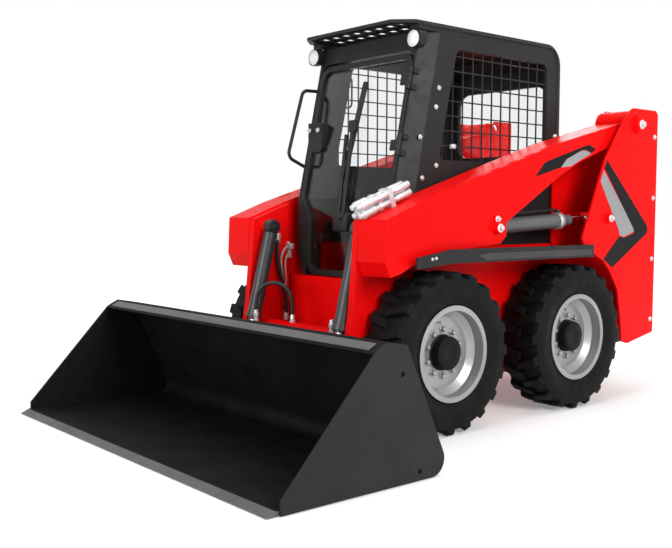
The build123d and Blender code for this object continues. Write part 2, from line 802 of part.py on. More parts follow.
def cab_door():
    leaf = slab(front_profile(0, door_thickness, door_bottom, door_top), -door_half, door_half)
    leaf = leaf & front_prism(door_outline(0, door_bottom, door_top), radius=door_corner)
    light = door_outline(door_border, door_bottom + door_border, door_top - door_border)
    leaf = leaf - front_prism(light, radius=light_corner)
    knuckles, lugs, bores = hinge_pieces()
    width, depth, height = lock_box
    lock_x = front_x(lock_height)
    lock = block(lock_x - depth, lock_x + depth / 2, -door_half, width - door_half,
                 lock_height - height / 2, lock_height + height / 2)
    lock = fillet(lock.edges().filter_by(Axis.X).group_by(Axis.Y)[-1], lock_round)
    for piece in knuckles + [lock]:
        leaf = leaf + piece
    for bore in bores:
        leaf = leaf - bore
    glass_back = glass_depth + glass_thickness
    sheet = slab(front_profile(glass_depth, glass_back, door_bottom, door_top), -door_half, door_half)
    border = door_border + glass_gap
    light = door_outline(border, door_bottom + border, door_top - border)
    pane = sheet & front_prism(light, radius=light_corner - glass_gap)
    write("door_frame", leaf)
    write("door_glass", pane - lock)


def cab_fittings():
    low = roof_underside - lamp_drop[0]
    high = roof_underside - lamp_drop[1]
    near, far = lamp_y
    lamp_front_x = front_x(low) + lamp_reach
    centre = Pos((near + far) / 2, (low + high) / 2)
    lamp_side = [(front_x(low), low), (lamp_front_x, low), (lamp_front_x, high), (front_x(high), high)]
    lamp_outline = centre * RectangleRounded(far - near, high - low, lamp_round)
    lamp = slab(lamp_side, near, far) & extrude(Plane.YZ * lamp_outline, amount=bucket_tip_x)
    lens_outline = centre * RectangleRounded(
        far - near - 2 * lamp_bezel, high - low - 2 * lamp_bezel, lamp_round - lamp_bezel)
    lens_plane = Plane.YZ.offset(lamp_front_x - lamp_recess)
    lens = extrude(lens_plane * lens_outline, amount=lamp_recess + lens_bulge)
    lamp = lamp - lens
    lens = fillet(lens.faces().sort_by(Axis.X)[-1].edges(), lens_bulge)
    write("work_lamps", both_sides(lamp))
    write("lamp_lenses", both_sides(lens))
    x_low, x_high = seat_x
    cushion = block(x_low, x_high, -seat_half, seat_half, deck_top, deck_top + seat_cushion)
    cushion = fillet(cushion.faces().sort_by(Axis.Z)[-1].edges(), seat_round)
    back = slab(
        [
            (x_low, deck_top + seat_cushion / 2), (x_low + seat_back_thickness, deck_top + seat_cushion / 2),
            (x_low + seat_back_thickness - seat_back_lean, deck_top + seat_back_height),
            (x_low - seat_back_lean, deck_top + seat_back_height),
        ], 20 - seat_half, seat_half - 20, radius=seat_round)
    write("seat", cushion + back)
    x, y = lever_place
    upright = (Align.CENTER, Align.CENTER, Align.MIN)
    lever = Pos(x, y, floor_height) * Cylinder(lever_radius, lever_height, align=upright)
    lever = lever + Pos(x, y, floor_height + lever_height) * Cylinder(grip_radius, grip_height, align=upright)
    write("control_levers", both_sides(lever))


# Lift arms

def lift_arm():
    near = arm_inner_y + arm_plate
    far = arm_outer_y - arm_plate
    arm = slab(arm_outline, far, arm_outer_y) + slab(arm_outline, arm_inner_y, near)
    arm = arm + sheet_along(arm_top_points, arm_plate, near, far)
    arm = arm + sheet_along(arm_nose_points, arm_plate, near, far)
    arm = arm + disc(arm_pivot, arm_hub_radius, arm_inner_y, arm_outer_y)
    arm = arm - disc(arm_pivot, pivot_pin_radius + running_gap, arm_inner_y - 1, arm_outer_y + 1)
    arm = arm + disc(lift_barrel_pin, cylinder_pin_radius, near, far)
    arm = arm + disc(lift_barrel_pin, pin_cap_radius, arm_outer_y, arm_outer_y + pin_cap)
    write("arms", both_sides(arm))
    # Legs down to the bucket pivots, with the tilt cylinders' top pins
    leg = slab(leg_outline, leg_inner_y, leg_outer_y) + slab(leg_pad_outline, leg_outer_y, arm_inner_y)
    leg = leg + disc(bucket_pivot, pivot_boss_radius, leg_inner_y, leg_outer_y)
    pin_ends = (leg_inner_y - bucket_pin_past, leg_outer_y + bucket_pin_past)
    leg = leg + disc(bucket_pivot, bucket_pin_radius, *pin_ends)
    eye_half = tilt_eye_width / 2
    leg = leg + disc(tilt_top_pin, tilt_boss_radius, tilt_cylinder_y + eye_half + eye_gap / 2, leg_inner_y)
    leg = leg + disc(tilt_top_pin, tilt_pin_radius, tilt_cylinder_y - eye_half - 2 * eye_gap, leg_inner_y)
    write("arm_legs", both_sides(leg))
    tube = disc(cross_tube, cross_tube_radius, -leg_inner_y, leg_inner_y)
    tube = tube - disc(cross_tube, cross_tube_radius - cross_tube_wall, -leg_inner_y - 1, leg_inner_y + 1)
    write("arm_cross_tube", tube)
    couplers()


def couplers():
    """Two rows of quick couplers in a bracket on top of the left arm's nose."""
    front, rear = arm_top_points[:2]
    length = math.dist(front, rear)
    along_x = (rear[0] - front[0]) / length
    along_z = (rear[1] - front[1]) / length

    def spot(distance, lift):
        return (front[0] + along_x * distance + along_z * lift, front[1] + along_z * distance - along_x * lift)

    low, high = coupler_bracket
    top = coupler_bracket_height
    corners = [spot(low, 0), spot(high, 0), spot(high, top), spot(low, top)]
    piece = slab(corners, *coupler_bracket_y)
    for y in coupler_y:
        for lift in coupler_lift:
            line = run(spot(coupler_start, lift), spot(coupler_start + coupler_length, lift), y)
            piece = piece + extrude(line * Circle(coupler_radius), amount=coupler_length)
            piece = piece + extrude(line * Circle(coupler_collar_radius), amount=coupler_collar)
    write("couplers", piece)


# Cylinders

def cylinder_pieces(base, eye, y, barrel, length, nose, rod, eye_radius, rod_eye_radius, eye_width, pin_radius,
                    stub, room):
    """A barrel with its eye at base and a rod with its eye at the other end."""
    line = run(base, eye, y)
    reach = math.dist(base, eye)
    neck = eye_radius - eye_overlap
    bore_start = pin_radius + barrel_base
    body = disc(base, eye_radius, y - eye_width / 2, y + eye_width / 2)
    gland = length - nose - gland_length
    body = body + extrude(line.offset(neck) * Circle(barrel), amount=gland - neck)
    body = body + extrude(line.offset(gland) * Circle(barrel + gland_rim), amount=gland_length)
    body = body + extrude(line.offset(gland) * Circle(rod + nose_wall), amount=length - gland)
    body = body - disc(base, pin_radius + running_gap, y - eye_width, y + eye_width)
    body = body - extrude(line.offset(bore_start) * Circle(rod + running_gap), amount=length)
    stem = extrude(line.offset(bore_start + room) * Circle(rod), amount=reach - bore_start - room)
    stem = stem + disc(eye, rod_eye_radius, y - eye_width / 2, y + eye_width / 2)
    stem = stem + disc(eye, pin_radius, y - eye_width / 2 - stub, y + eye_width / 2 + stub)
    return body, stem


def tilt_eye():
    angle = math.radians(tilt_lever_angle)
    return (bucket_pivot[0] + tilt_lever * math.cos(angle), bucket_pivot[1] + tilt_lever * math.sin(angle))


def cylinders():
    lift = cylinder_pieces(
        lift_barrel_pin, lift_rod_pin, lift_cylinder_y, lift_barrel_radius, lift_barrel_length, lift_gland_nose,
        lift_rod_radius, lift_eye_radius, lift_eye_radius, lift_eye_width, cylinder_pin_radius, lift_stub,
        lift_retract_room)
    tilt = cylinder_pieces(
        tilt_top_pin, tilt_eye(), tilt_cylinder_y, tilt_barrel_radius, tilt_barrel_length, tilt_gland_nose,
        tilt_rod_radius, tilt_eye_radius, tilt_rod_eye_radius, tilt_eye_width, tilt_pin_radius, tilt_stub,
        tilt_retract_room)
    for kind, (barrel, stem) in (("lift", lift), ("tilt", tilt)):
        write(kind + "_barrel_left", barrel)
        write(kind + "_barrel_right", other_side(barrel))
        write(kind + "_rod_left", stem)
        write(kind + "_rod_right", other_side(stem))


# Bucket and carrier

def along_back(distance, behind=0):
    """A point along the bucket's back from its corner, and behind it."""
    dx, dz = bucket_back_dir
    length = math.hypot(dx, dz)
    ux, uz = dx / length, dz / length
    return (bucket_corner_x + distance * ux - behind * uz, bucket_bottom + distance * uz + behind * ux)


def bucket():
    inner_y = bucket_half - bucket_side_plate
    floor_front = (bucket_tip_x - edge_bar_depth, bucket_bottom)
    corner = (bucket_corner_x, bucket_bottom)
    line = [bucket_lip_front, bucket_lip_top, bucket_back_top, corner, floor_front]
    inside = inside_line(line, bucket_sheet)
    mouth_x = floor_front[0] + edge_bar_depth
    mouth = [(mouth_x, inside[-1][1]), (mouth_x, inside[0][1])]
    side = line[:4] + [(side_edge_x, bucket_bottom), (side_edge_x, side_edge_height)]

    def profile(points, heel_radius):
        face = make_face(Polyline(*points, close=True))
        return fillet(face.vertices().sort_by(Axis.X)[0], heel_radius)

    shell = profile(line, bucket_heel_radius) - profile(inside + mouth, bucket_heel_radius - bucket_sheet)
    write("bucket_shell", extrude(Plane.XZ.offset(inner_y) * shell, amount=-2 * inner_y))
    plate = extrude(Plane.XZ.offset(-inner_y) * profile(side, bucket_heel_radius), amount=-bucket_side_plate)
    for place in side_holes:
        plate = plate - disc(place, side_hole_radius, inner_y - 1, bucket_half + 1)
    write("bucket_sides", both_sides(plate))
    bar_top = bucket_bottom + edge_bar_thickness
    bar = [
        floor_front, (bucket_tip_x, bucket_bottom), (bucket_tip_x - edge_bar_bevel, bar_top),
        (floor_front[0], bar_top),
    ]
    write("cutting_edge", slab(bar, -inner_y, inner_y))


def carrier():
    """Plate on the bucket's back with ears for the pivots and the tilt rods."""
    low, high = carrier_span
    front_edge = [along_back(low), along_back(high)]
    back_edge = [along_back(high, carrier_plate), along_back(low, carrier_plate)]
    piece = slab(front_edge + back_edge, -carrier_half, carrier_half)
    foot = [along_back(distance, carrier_plate - 2) for distance in carrier_ear_span]
    eye_x, eye_z = tilt_eye()
    pivot_x, pivot_z = bucket_pivot
    rim = ear_rim
    eye_end = [(eye_x + rim / 4, eye_z + rim), (eye_x - 3 * rim / 4, eye_z + 3 * rim / 5)]
    pivot_end = [(pivot_x - rim, pivot_z), (pivot_x - 3 * rim / 5, pivot_z - 3 * rim / 4)]
    near_ear = [foot[0], foot[2]] + eye_end + [(eye_x - rim, eye_z - rim / 2)]
    both_ear = [foot[0], foot[2]] + eye_end + pivot_end
    far_top = [(pivot_x + rim / 4, pivot_z + rim), (pivot_x - 3 * rim / 4, pivot_z + 3 * rim / 5)]
    far_ear = foot[:2] + far_top + pivot_end
    eye_half = tilt_eye_width / 2 + eye_gap
    # Outline and the ear's inner face
    rows = (
        (near_ear, tilt_cylinder_y - eye_half - ear_plate),
        (both_ear, tilt_cylinder_y + eye_half),
        (far_ear, leg_outer_y + eye_gap),
    )
    for outline, y in rows:
        ear = slab(outline, y, y + ear_plate)
        piece = piece + ear + other_side(ear)
    bore_ends = (leg_inner_y - 3 * ear_plate, leg_outer_y + 3 * ear_plate)
    bore = disc(bucket_pivot, bucket_pin_radius + running_gap, *bore_ends)
    write("bucket_carrier", piece - bore - other_side(bore))


os.makedirs("parts", exist_ok=True)
wheels()
axle_housings()
main_frame()
engine()
fenders()
towers()
covers()
cab()
cab_front()
cab_door()
cab_fittings()
lift_arm()
cylinders()
bucket()
carrier()
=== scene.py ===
import math

import bmesh
import bpy
from mathutils import Matrix, Vector


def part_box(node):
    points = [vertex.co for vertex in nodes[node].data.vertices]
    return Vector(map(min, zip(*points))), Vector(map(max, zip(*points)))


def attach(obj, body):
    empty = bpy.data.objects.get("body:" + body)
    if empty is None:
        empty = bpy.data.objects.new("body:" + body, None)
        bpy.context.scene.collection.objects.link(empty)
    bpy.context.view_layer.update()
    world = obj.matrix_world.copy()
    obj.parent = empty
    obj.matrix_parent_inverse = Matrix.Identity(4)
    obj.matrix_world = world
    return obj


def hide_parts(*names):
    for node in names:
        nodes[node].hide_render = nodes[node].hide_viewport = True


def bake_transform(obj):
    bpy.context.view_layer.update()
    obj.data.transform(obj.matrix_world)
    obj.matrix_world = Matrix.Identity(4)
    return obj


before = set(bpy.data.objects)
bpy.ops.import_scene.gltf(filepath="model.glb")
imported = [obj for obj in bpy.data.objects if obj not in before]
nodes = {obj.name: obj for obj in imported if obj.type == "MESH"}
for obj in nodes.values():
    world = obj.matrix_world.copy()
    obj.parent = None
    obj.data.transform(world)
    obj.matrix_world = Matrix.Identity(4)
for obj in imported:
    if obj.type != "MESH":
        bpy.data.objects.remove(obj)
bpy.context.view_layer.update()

# Drawing sizes in millimetres, x from the rear axle
AXLE_SHIFT = -752
WHEELBASE = 940
WHEEL_HEIGHT = 376
TYRE_MIDDLE = 542.5
SIDES = {"left": 1, "right": -1}
MM = 0.001
WASHER_THICKNESS = 3
OUTER_FACE = (1.0460, 1.0520)


def at(x, y, z):
    return Vector(((x + AXLE_SHIFT) / 1000, y / 1000, z / 1000))


# Materials
def add(tree, kind, inputs, **settings):
    made = tree.nodes.new("ShaderNode" + kind)
    for key, value in settings.items():
        setattr(made, key, value)
    for key, value in inputs.items():
        if isinstance(value, bpy.types.NodeSocket):
            tree.links.new(value, made.inputs[key])
        else:
            made.inputs[key].default_value = value
    return made


def new_material(name):
    made = bpy.data.materials.new(name)
    made.use_nodes = True
    made.node_tree.nodes.clear()
    return made, made.node_tree


def noise(tree, scale, detail=4.0, stretch=(1, 1, 1)):
    place = add(tree, "NewGeometry", {})
    mapped = add(tree, "Mapping", {"Vector": place.outputs["Position"], "Scale": stretch})
    made = add(tree, "TexNoise", {"Vector": mapped.outputs["Vector"], "Scale": scale, "Detail": detail})
    return made.outputs["Fac"]


def spread(tree, factor, low, high, from_low=0.3, from_high=0.7):
    made = add(tree, "MapRange", {"Value": factor, "From Min": from_low, "From Max": from_high,
                                  "To Min": low, "To Max": high})
    return made.outputs["Result"]


def mix_colours(tree, factor, first, second):
    made = add(tree, "Mix", {0: factor, 6: first, 7: second}, data_type="RGBA")
    return made.outputs[2]


def finish_tree(tree, shader):
    add(tree, "OutputMaterial", {"Surface": shader.outputs[0]})


def edge_mask(tree, bevel_normal):
    """One along worn edges, zero on flats."""
    true_normal = add(tree, "NewGeometry", {}).outputs["Normal"]
    made = add(tree, "VectorMath", {0: bevel_normal, 1: true_normal}, operation="DOT_PRODUCT")
    return spread(tree, made.outputs["Value"], 1.0, 0.0, 0.80, 0.99)


def outer_mask(tree):
    """One on the bucket's outer faces, zero on the inner faces between its side plates, which take painted
    shade.
    """
    place = add(tree, "NewGeometry", {})
    axes = add(tree, "SeparateXYZ", {"Vector": place.outputs["Position"]})
    distance = add(tree, "Math", {0: axes.outputs["Y"]}, operation="ABSOLUTE")
    low, high = OUTER_FACE
    return spread(tree, distance.outputs[0], 0.0, 1.0, low, high)


def coated(name, colour, shade, worn, roughness, grain, bump, coat=0.0, metallic=0.0, edge=0.003, wear=0.25,
           specular=0.35, inside=None):
    """Paint or bare metal with soft edges, a drifting tint, worn edges and a fine grain.

    A bucket's side plates take the darker inside colour on their inner faces, as painted shade between the
    plates."""
    made, tree = new_material(name)
    bevel = add(tree, "Bevel", {"Radius": edge}, samples=4)
    drift = spread(tree, noise(tree, 5.0, 5.0), 0.0, 1.0)
    base = mix_colours(tree, drift, (*colour, 1), (*shade, 1))
    # Painted shade: the side plates' inner faces take the darker inside colour.
    if inside:
        base = mix_colours(tree, outer_mask(tree), (*inside, 1), base)
    scuff = spread(tree, noise(tree, 60.0, 6.0), 0.0, wear, 0.45, 0.75)
    mask = add(tree, "Math", {0: edge_mask(tree, bevel.outputs["Normal"]), 1: scuff}, operation="MULTIPLY")
    tinted = mix_colours(tree, mask.outputs[0], base, (*worn, 1))
    fine = noise(tree, grain, 3.0)
    relief = add(tree, "Bump", {"Strength": bump, "Distance": 0.001, "Height": fine,
                                "Normal": bevel.outputs["Normal"]})
    rough = spread(tree, noise(tree, 22.0, 5.0), roughness * 0.85, min(1.0, roughness * 1.2))
    shader = add(tree, "BsdfPrincipled", {
        "Base Color": tinted, "Roughness": rough, "Metallic": metallic, "Specular IOR Level": specular,
        "Coat Weight": coat, "Coat Roughness": 0.08, "Normal": relief.outputs["Normal"]})
    finish_tree(tree, shader)
    return made


def rubber_material():
    made, tree = new_material("tyre_rubber")
    dust = spread(tree, noise(tree, 9.0, 6.0), 0.0, 1.0, 0.35, 0.75)
    base = mix_colours(tree, dust, (0.004, 0.004, 0.0043, 1), (0.008, 0.008, 0.0083, 1))
    relief = add(tree, "Bump", {"Strength": 0.25, "Distance": 0.001, "Height": noise(tree, 420.0, 4.0)})
    rough = spread(tree, noise(tree, 30.0, 4.0), 0.50, 0.70)
    finish_tree(tree, add(tree, "BsdfPrincipled", {
        "Base Color": base, "Roughness": rough, "Specular IOR Level": 0.096,
        "Normal": relief.outputs["Normal"]}))
    return made


def glass_material():
    """Flat safety glass: mostly clear, with a sheen at glancing angles."""
    made, tree = new_material("window_glass")
    clear = add(tree, "BsdfTransparent", {"Color": (0.93, 0.94, 0.94, 1)})
    film = spread(tree, noise(tree, 6.0, 4.0), 0.02, 0.06)
    gloss = add(tree, "BsdfGlossy", {"Color": (0.9, 0.92, 0.92, 1), "Roughness": film})
    turn = add(tree, "LayerWeight", {"Blend": 0.5})
    sheen = spread(tree, turn.outputs["Facing"], 0.02, 0.5, 0.35, 1.0)
    finish_tree(tree, add(tree, "MixShader", {0: sheen, 1: clear.outputs[0], 2: gloss.outputs[0]}))
    return made


def lens_material(name, colour):
    made, tree = new_material(name)
    place = add(tree, "NewGeometry", {})
    ribs = add(tree, "TexWave", {"Vector": place.outputs["Position"], "Scale": 60.0, "Distortion": 0.4},
               bands_direction="Y")
    relief = add(tree, "Bump", {"Strength": 0.3, "Distance": 0.002, "Height": ribs.outputs["Fac"]})
    tint = mix_colours(tree, spread(tree, ribs.outputs["Fac"], 0.0, 1.0, 0.0, 1.0),
                       (*colour, 1), tuple(0.82 * c for c in colour) + (1,))
    finish_tree(tree, add(tree, "BsdfPrincipled", {
        "Base Color": tint, "Roughness": 0.22, "Coat Weight": 0.15, "Specular IOR Level": 0.3,
        "Normal": relief.outputs["Normal"]}))
    return made


def vinyl_material():
    made, tree = new_material("seat_vinyl")
    place = add(tree, "NewGeometry", {})
    cells = add(tree, "TexVoronoi", {"Vector": place.outputs["Position"], "Scale": 420.0})
    relief = add(tree, "Bump", {"Strength": 0.35, "Distance": 0.0008, "Height": cells.outputs["Distance"]})
    base = mix_colours(tree, spread(tree, noise(tree, 14.0), 0.0, 1.0),
                       (0.017, 0.017, 0.018, 1), (0.034, 0.034, 0.036, 1))
    finish_tree(tree, add(tree, "BsdfPrincipled", {
        "Base Color": base, "Roughness": 0.55, "Normal": relief.outputs["Normal"]}))
    return made


RED = coated("red_enamel", (0.84, 0.0022, 0.0026), (0.78, 0.0018, 0.0022), (0.50, 0.04, 0.04),
             0.40, 500.0, 0.05, coat=0.02, specular=0.08)
BLACK = coated("black_powder_coat", (0.010, 0.010, 0.0105), (0.015, 0.015, 0.0155), (0.10, 0.10, 0.10),
               0.46, 900.0, 0.16, specular=0.22)
# The bucket's inside: its dark coat darkened further by painted shade, several times darker than the
# outside coat.
BUCKET_INSIDE_SHADED = coated("bucket_inside_coat_painted_shade", (0.003, 0.003, 0.0032), (0.006, 0.006, 0.0063),
                       (0.10, 0.10, 0.10), 0.60, 700.0, 0.20, wear=0.5, specular=0.08)
# The bucket's outer coat; its side plates' inner faces take the inside colour as painted shade.
BUCKET = coated("bucket_coat", (0.017, 0.017, 0.0175), (0.023, 0.023, 0.0235), (0.14, 0.14, 0.14),
                0.52, 700.0, 0.18, wear=0.6, specular=0.14, inside=(0.004, 0.004, 0.0042))
# Paler grey than the bucket coat: a painted highlight on the lip's upward face, where light falls.
LIP_HIGHLIGHT = coated("bucket_lip_painted_highlight", (0.090, 0.088, 0.089), (0.108, 0.106, 0.107), (0.18, 0.18, 0.18),
             0.48, 700.0, 0.18, wear=0.6, specular=0.15)
FENDER_GREY = coated("fender_grey_film", (0.052, 0.047, 0.047), (0.064, 0.058, 0.058), (0.12, 0.11, 0.11),
                     0.46, 600.0, 0.06, specular=0.15)
WEAR = coated("wear_edge_steel", (0.10, 0.10, 0.102), (0.070, 0.070, 0.072), (0.34, 0.34, 0.34),
              0.44, 300.0, 0.15, metallic=0.4, wear=0.7)
IRON = coated("cast_iron", (0.030, 0.030, 0.032), (0.047, 0.046, 0.046), (0.15, 0.15, 0.15),
              0.55, 260.0, 0.35)
SILVER = coated("silver_wheel_paint", (0.36, 0.36, 0.365), (0.29, 0.29, 0.295), (0.52, 0.52, 0.52),
                0.34, 800.0, 0.08, coat=0.2, metallic=0.55)
CYLINDER = coated("cylinder_coat", (0.024, 0.024, 0.026), (0.036, 0.036, 0.038), (0.12, 0.12, 0.12),
                  0.38, 700.0, 0.10, coat=0.1)
LIFT_COAT = coated("lift_cylinder_coat", (0.110, 0.110, 0.112), (0.135, 0.135, 0.137), (0.24, 0.24, 0.24),
                   0.36, 700.0, 0.10, coat=0.1, specular=0.25)
ZINC = coated("zinc_plate", (0.72, 0.72, 0.72), (0.60, 0.60, 0.61), (0.82, 0.82, 0.82),
              0.32, 700.0, 0.10, metallic=0.6, edge=0.001)
CHROME = coated("chrome_rod", (0.72, 0.72, 0.73), (0.64, 0.64, 0.65), (0.80, 0.80, 0.80),
                0.14, 900.0, 0.03, metallic=1.0, edge=0.001, wear=0.1)
GREY = coated("grey_decal_film", (0.30, 0.30, 0.31), (0.26, 0.26, 0.27), (0.33, 0.33, 0.33),
              0.42, 600.0, 0.05)
BLACK_FILM = coated("black_decal_film", (0.004, 0.004, 0.0045), (0.007, 0.007, 0.0075), (0.03, 0.03, 0.03),
                    0.42, 600.0, 0.05, specular=0.10)
HOSE = coated("hose_rubber", (0.010, 0.010, 0.011), (0.018, 0.018, 0.019), (0.05, 0.05, 0.05),
              0.50, 500.0, 0.2)
PALE_HOSE = coated("pale_hose_cover", (0.52, 0.50, 0.42), (0.44, 0.42, 0.35), (0.60, 0.58, 0.50),
                   0.50, 500.0, 0.2)
RUBBER = rubber_material()
GLASS = glass_material()
LENS = lens_material("lamp_lens", (0.86, 0.87, 0.88))
TAIL_LENS = lens_material("tail_lens", (0.45, 0.01, 0.012))
VINYL = vinyl_material()
WHEELS = tuple(f"{end}_{side}" for end in ("front", "rear") for side in SIDES)

NODE_MATERIALS = {
    RED: ("main_frame", "tower_outer_plates", "tower_inner_plates", "tower_backs", "arms", "arm_legs",
          "arm_cross_tube", "engine_hood", "rear_door"),
    BLACK: ("cab_sides", "side_screens", "cab_roof", "cab_rear", "cab_floor", "cab_front", "door_frame",
            "work_lamps", "control_levers", "rear_bumper", "fenders", "axle_housings"),
    BUCKET: ("bucket_sides", "bucket_carrier"),
    BUCKET_INSIDE_SHADED: ("bucket_shell",),
    WEAR: ("cutting_edge",),
    IRON: ("engine",),
    GLASS: ("door_glass", "rear_glass"),
    LENS: ("lamp_lenses",),
    TAIL_LENS: ("tail_lamps",),
    VINYL: ("seat",),
    ZINC: ("couplers",),
    SILVER: tuple(f"rim_{wheel}" for wheel in WHEELS),
    RUBBER: tuple(f"tyre_{wheel}" for wheel in WHEELS),
    CYLINDER: tuple(f"tilt_barrel_{side}" for side in SIDES),
    LIFT_COAT: tuple(f"lift_barrel_{side}" for side in SIDES),
    CHROME: tuple(f"{kind}_rod_{side}" for kind in ("lift", "tilt") for side in SIDES),
}


def dress_nodes():
    for material, names in NODE_MATERIALS.items():
        for name in names:
            node = nodes[name]
            node.data.materials.clear()
            node.data.materials.append(material)


# Mesh helpers
def settle(made, material, body):
    """Puts an object in the scene on a body, with its finish."""
    bpy.context.scene.collection.objects.link(made)
    made.data.materials.append(material)
    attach(made, body)
    return made


def smooth_mesh(name, bm):
    bmesh.ops.recalc_face_normals(bm, faces=bm.faces)
    mesh = bpy.data.meshes.new(name)
    bm.to_mesh(mesh)
    bm.free()
    mesh.shade_smooth()
    return mesh


def piece(name, bm, material, body, smooth_angle=35):
    mesh = smooth_mesh(name, bm)
    mesh.set_sharp_from_angle(angle=math.radians(smooth_angle))
    return settle(bpy.data.objects.new(name, mesh), material, body)


def skin(bm, loops, capped=True):
    """Faces between one closed loop of points and the next, with the two ends filled."""
    for low, high in zip(loops, loops[1:]):
        for step in range(len(low)):
            after = (step + 1) % len(low)
            bm.faces.new((low[step], low[after], high[after], high[step]))
    if capped:
        bm.faces.new(loops[0])
        bm.faces.new(loops[-1])


def facing(place, direction):
    """A frame at this place whose Z points this way."""
    return Matrix.Translation(place) @ Vector(direction).to_track_quat("Z", "Y").to_matrix().to_4x4()


def lathe(bm, matrix, rings, segments=32):
    """A round body about the frame's Z through (radius, height) rings in millimetres."""
    loops = []
    for radius, height in rings:
        angles = [2 * math.pi * step / segments for step in range(segments)]
        spots = [Vector((radius * math.cos(a), radius * math.sin(a), height)) * MM for a in angles]
        loops.append([bm.verts.new(matrix @ spot) for spot in spots])
    skin(bm, loops)


def soften(bm, loops, bevel):
    """Rounds every edge of the body just made from these loops."""
    edges = dict.fromkeys(edge for loop in loops for vert in loop for edge in vert.link_edges)
    bmesh.ops.bevel(bm, geom=list(edges), offset=bevel * MM, segments=2, profile=0.5, affect="EDGES")


def plate(bm, outline, low, high, side=1, bevel=0.0):
    """A flat piece with this (x, z) outline between two y values in millimetres."""
    loops = [[bm.verts.new(at(x, side * y, z)) for x, z in outline] for y in (low, high)]
    skin(bm, loops)
    if bevel:
        soften(bm, loops, bevel)


def block(bm, matrix, size, bevel):
    """A box of this size in millimetres, centred on the frame, with rounded edges."""
    half_x, half_y, half_z = (extent / 2 for extent in size)
    corners = ((-half_x, -half_y), (half_x, -half_y), (half_x, half_y), (-half_x, half_y))
    loops = []
    for z in (-half_z, half_z):
        loops.append([bm.verts.new(matrix @ (Vector((x, y, z)) * MM)) for x, y in corners])
    skin(bm, loops)
    soften(bm, loops, bevel)


def bar(bm, start, end, size, bevel):
    """A flat bar between two places; size is its width and thickness."""
    run = end - start
    block(bm, facing((start + end) / 2, run), (*size, run.length / MM), bevel)


def bolt(bm, place, direction, radius, height):
    """A washer with a six-sided head on it."""
    matrix = facing(place, direction)
    washer = WASHER_THICKNESS
    lathe(bm, matrix, ((1.5 * radius, 0), (1.5 * radius, washer * 0.7), (1.4 * radius, washer)), 20)
    lathe(bm, matrix, ((radius, washer), (radius, 0.8 * height), (0.82 * radius, height)), 6)


def smooth_line(name, route):
    """A curve that follows (x, y, z) drawing places."""
    data = bpy.data.curves.new(name, "CURVE")
    data.dimensions = "3D"
    data.resolution_u = 10
    spline = data.splines.new("NURBS")
    spline.points.add(len(route) - 1)
    for point, spot in zip(spline.points, route):
        point.co = (*at(*spot), 1)
    spline.order_u = 3
    spline.use_endpoint_u = True
    return data


def tube(name, route, radius, material, body):
    """A smooth round line with closed ends."""
    data = smooth_line(name, route)
    data.bevel_depth = radius * MM
    data.bevel_resolution = 3
    data.use_fill_caps = True
    return settle(bpy.data.objects.new(name, data), material, body)


def line_points(name, route):
    """Places along the smooth line of a route."""
    holder = bpy.data.objects.new(name, smooth_line(name, route))
    mesh = bpy.data.meshes.new_from_object(holder)
    points = [vert.co.copy() for vert in mesh.vertices]
    bpy.data.meshes.remove(mesh)
    bpy.data.objects.remove(holder)
    return points


def sweep(bm, points, radius, segments=14):
    """A round tube along these places."""
    loops = []
    across = Vector((1, 0, 0))
    for step, point in enumerate(points):
        ahead = points[min(step + 1, len(points) - 1)] - points[max(step - 1, 0)]
        ahead.normalize()
        across = (across - ahead * across.dot(ahead)).normalized()
        beside = ahead.cross(across)
        angles = [2 * math.pi * turn / segments for turn in range(segments)]
        spots = [across * math.cos(a) + beside * math.sin(a) for a in angles]
        loops.append([bm.verts.new(point + spot * radius * MM) for spot in spots])
    skin(bm, loops)


# Wheels
TYRE_PROFILE = (
    # radius, distance from the wheel's middle plane
    (207, 84), (216, 93), (226, 98.5), (230, 103), (236, 105), (241, 103.5), (247, 106), (262, 111.5),
    (280, 115.8), (296, 117), (312, 116), (322, 114.6), (324, 113.2), (326, 113.8), (336, 111.8),
    (343, 109.6), (346.5, 106.5), (347, 103), (348, 98), (351, 88), (352, 60), (352.5, 20),
)
TYRE_STEPS = 96
LUG_COUNT = 20
LUG_STATIONS = (
    # base y, base radius, top y, top radius
    (-14, 345, -12, 373), (30, 345, 30, 373.5), (84, 342, 84, 373), (96, 338, 101, 371),
    (103, 334, 107.5, 352), (104, 328, 107.5, 340),
)
LUG_SECTION = ((-1.16, 0), (-1.0, 0.82), (-0.84, 1), (0.84, 1), (1.0, 0.82), (1.16, 0))
LUG_INNER_END = {"y": -14, "lead": 20, "width": 38}
LUG_OUTER_END = {"y": 117.5, "lead": -20, "width": 52}
NUT_COUNT = 10
NUT_CIRCLE = 108
NUT_SIZE = (13, 18)
DISC_FACE = 28.5
HUB_CAP_RINGS = ((84, 28.8), (84, 34), (78.2, 37), (78.2, 69), (75.5, 76), (69, 79.6), (34, 80.6),
                 (30, 79.4))
VALVE_CIRCLE = 150
VALVE_RINGS = ((7, 0), (7, 12), (4, 14), (4, 30), (5.5, 31), (5.5, 38), (4, 39))


def wheel_place(wheel):
    end, side = wheel.split("_")
    return at(WHEELBASE if end == "front" else 0, SIDES[side] * TYRE_MIDDLE, WHEEL_HEIGHT), SIDES[side]


def around(centre, side, angle, radius, sideways, y):
    """A place on a wheel, turned from the top, out from the axle, along the tread and across it."""
    out = Vector((math.sin(angle), 0, math.cos(angle)))
    along = Vector((math.cos(angle), 0, -math.sin(angle)))
    return centre + (out * radius + along * sideways + Vector((0, side * y, 0))) * MM


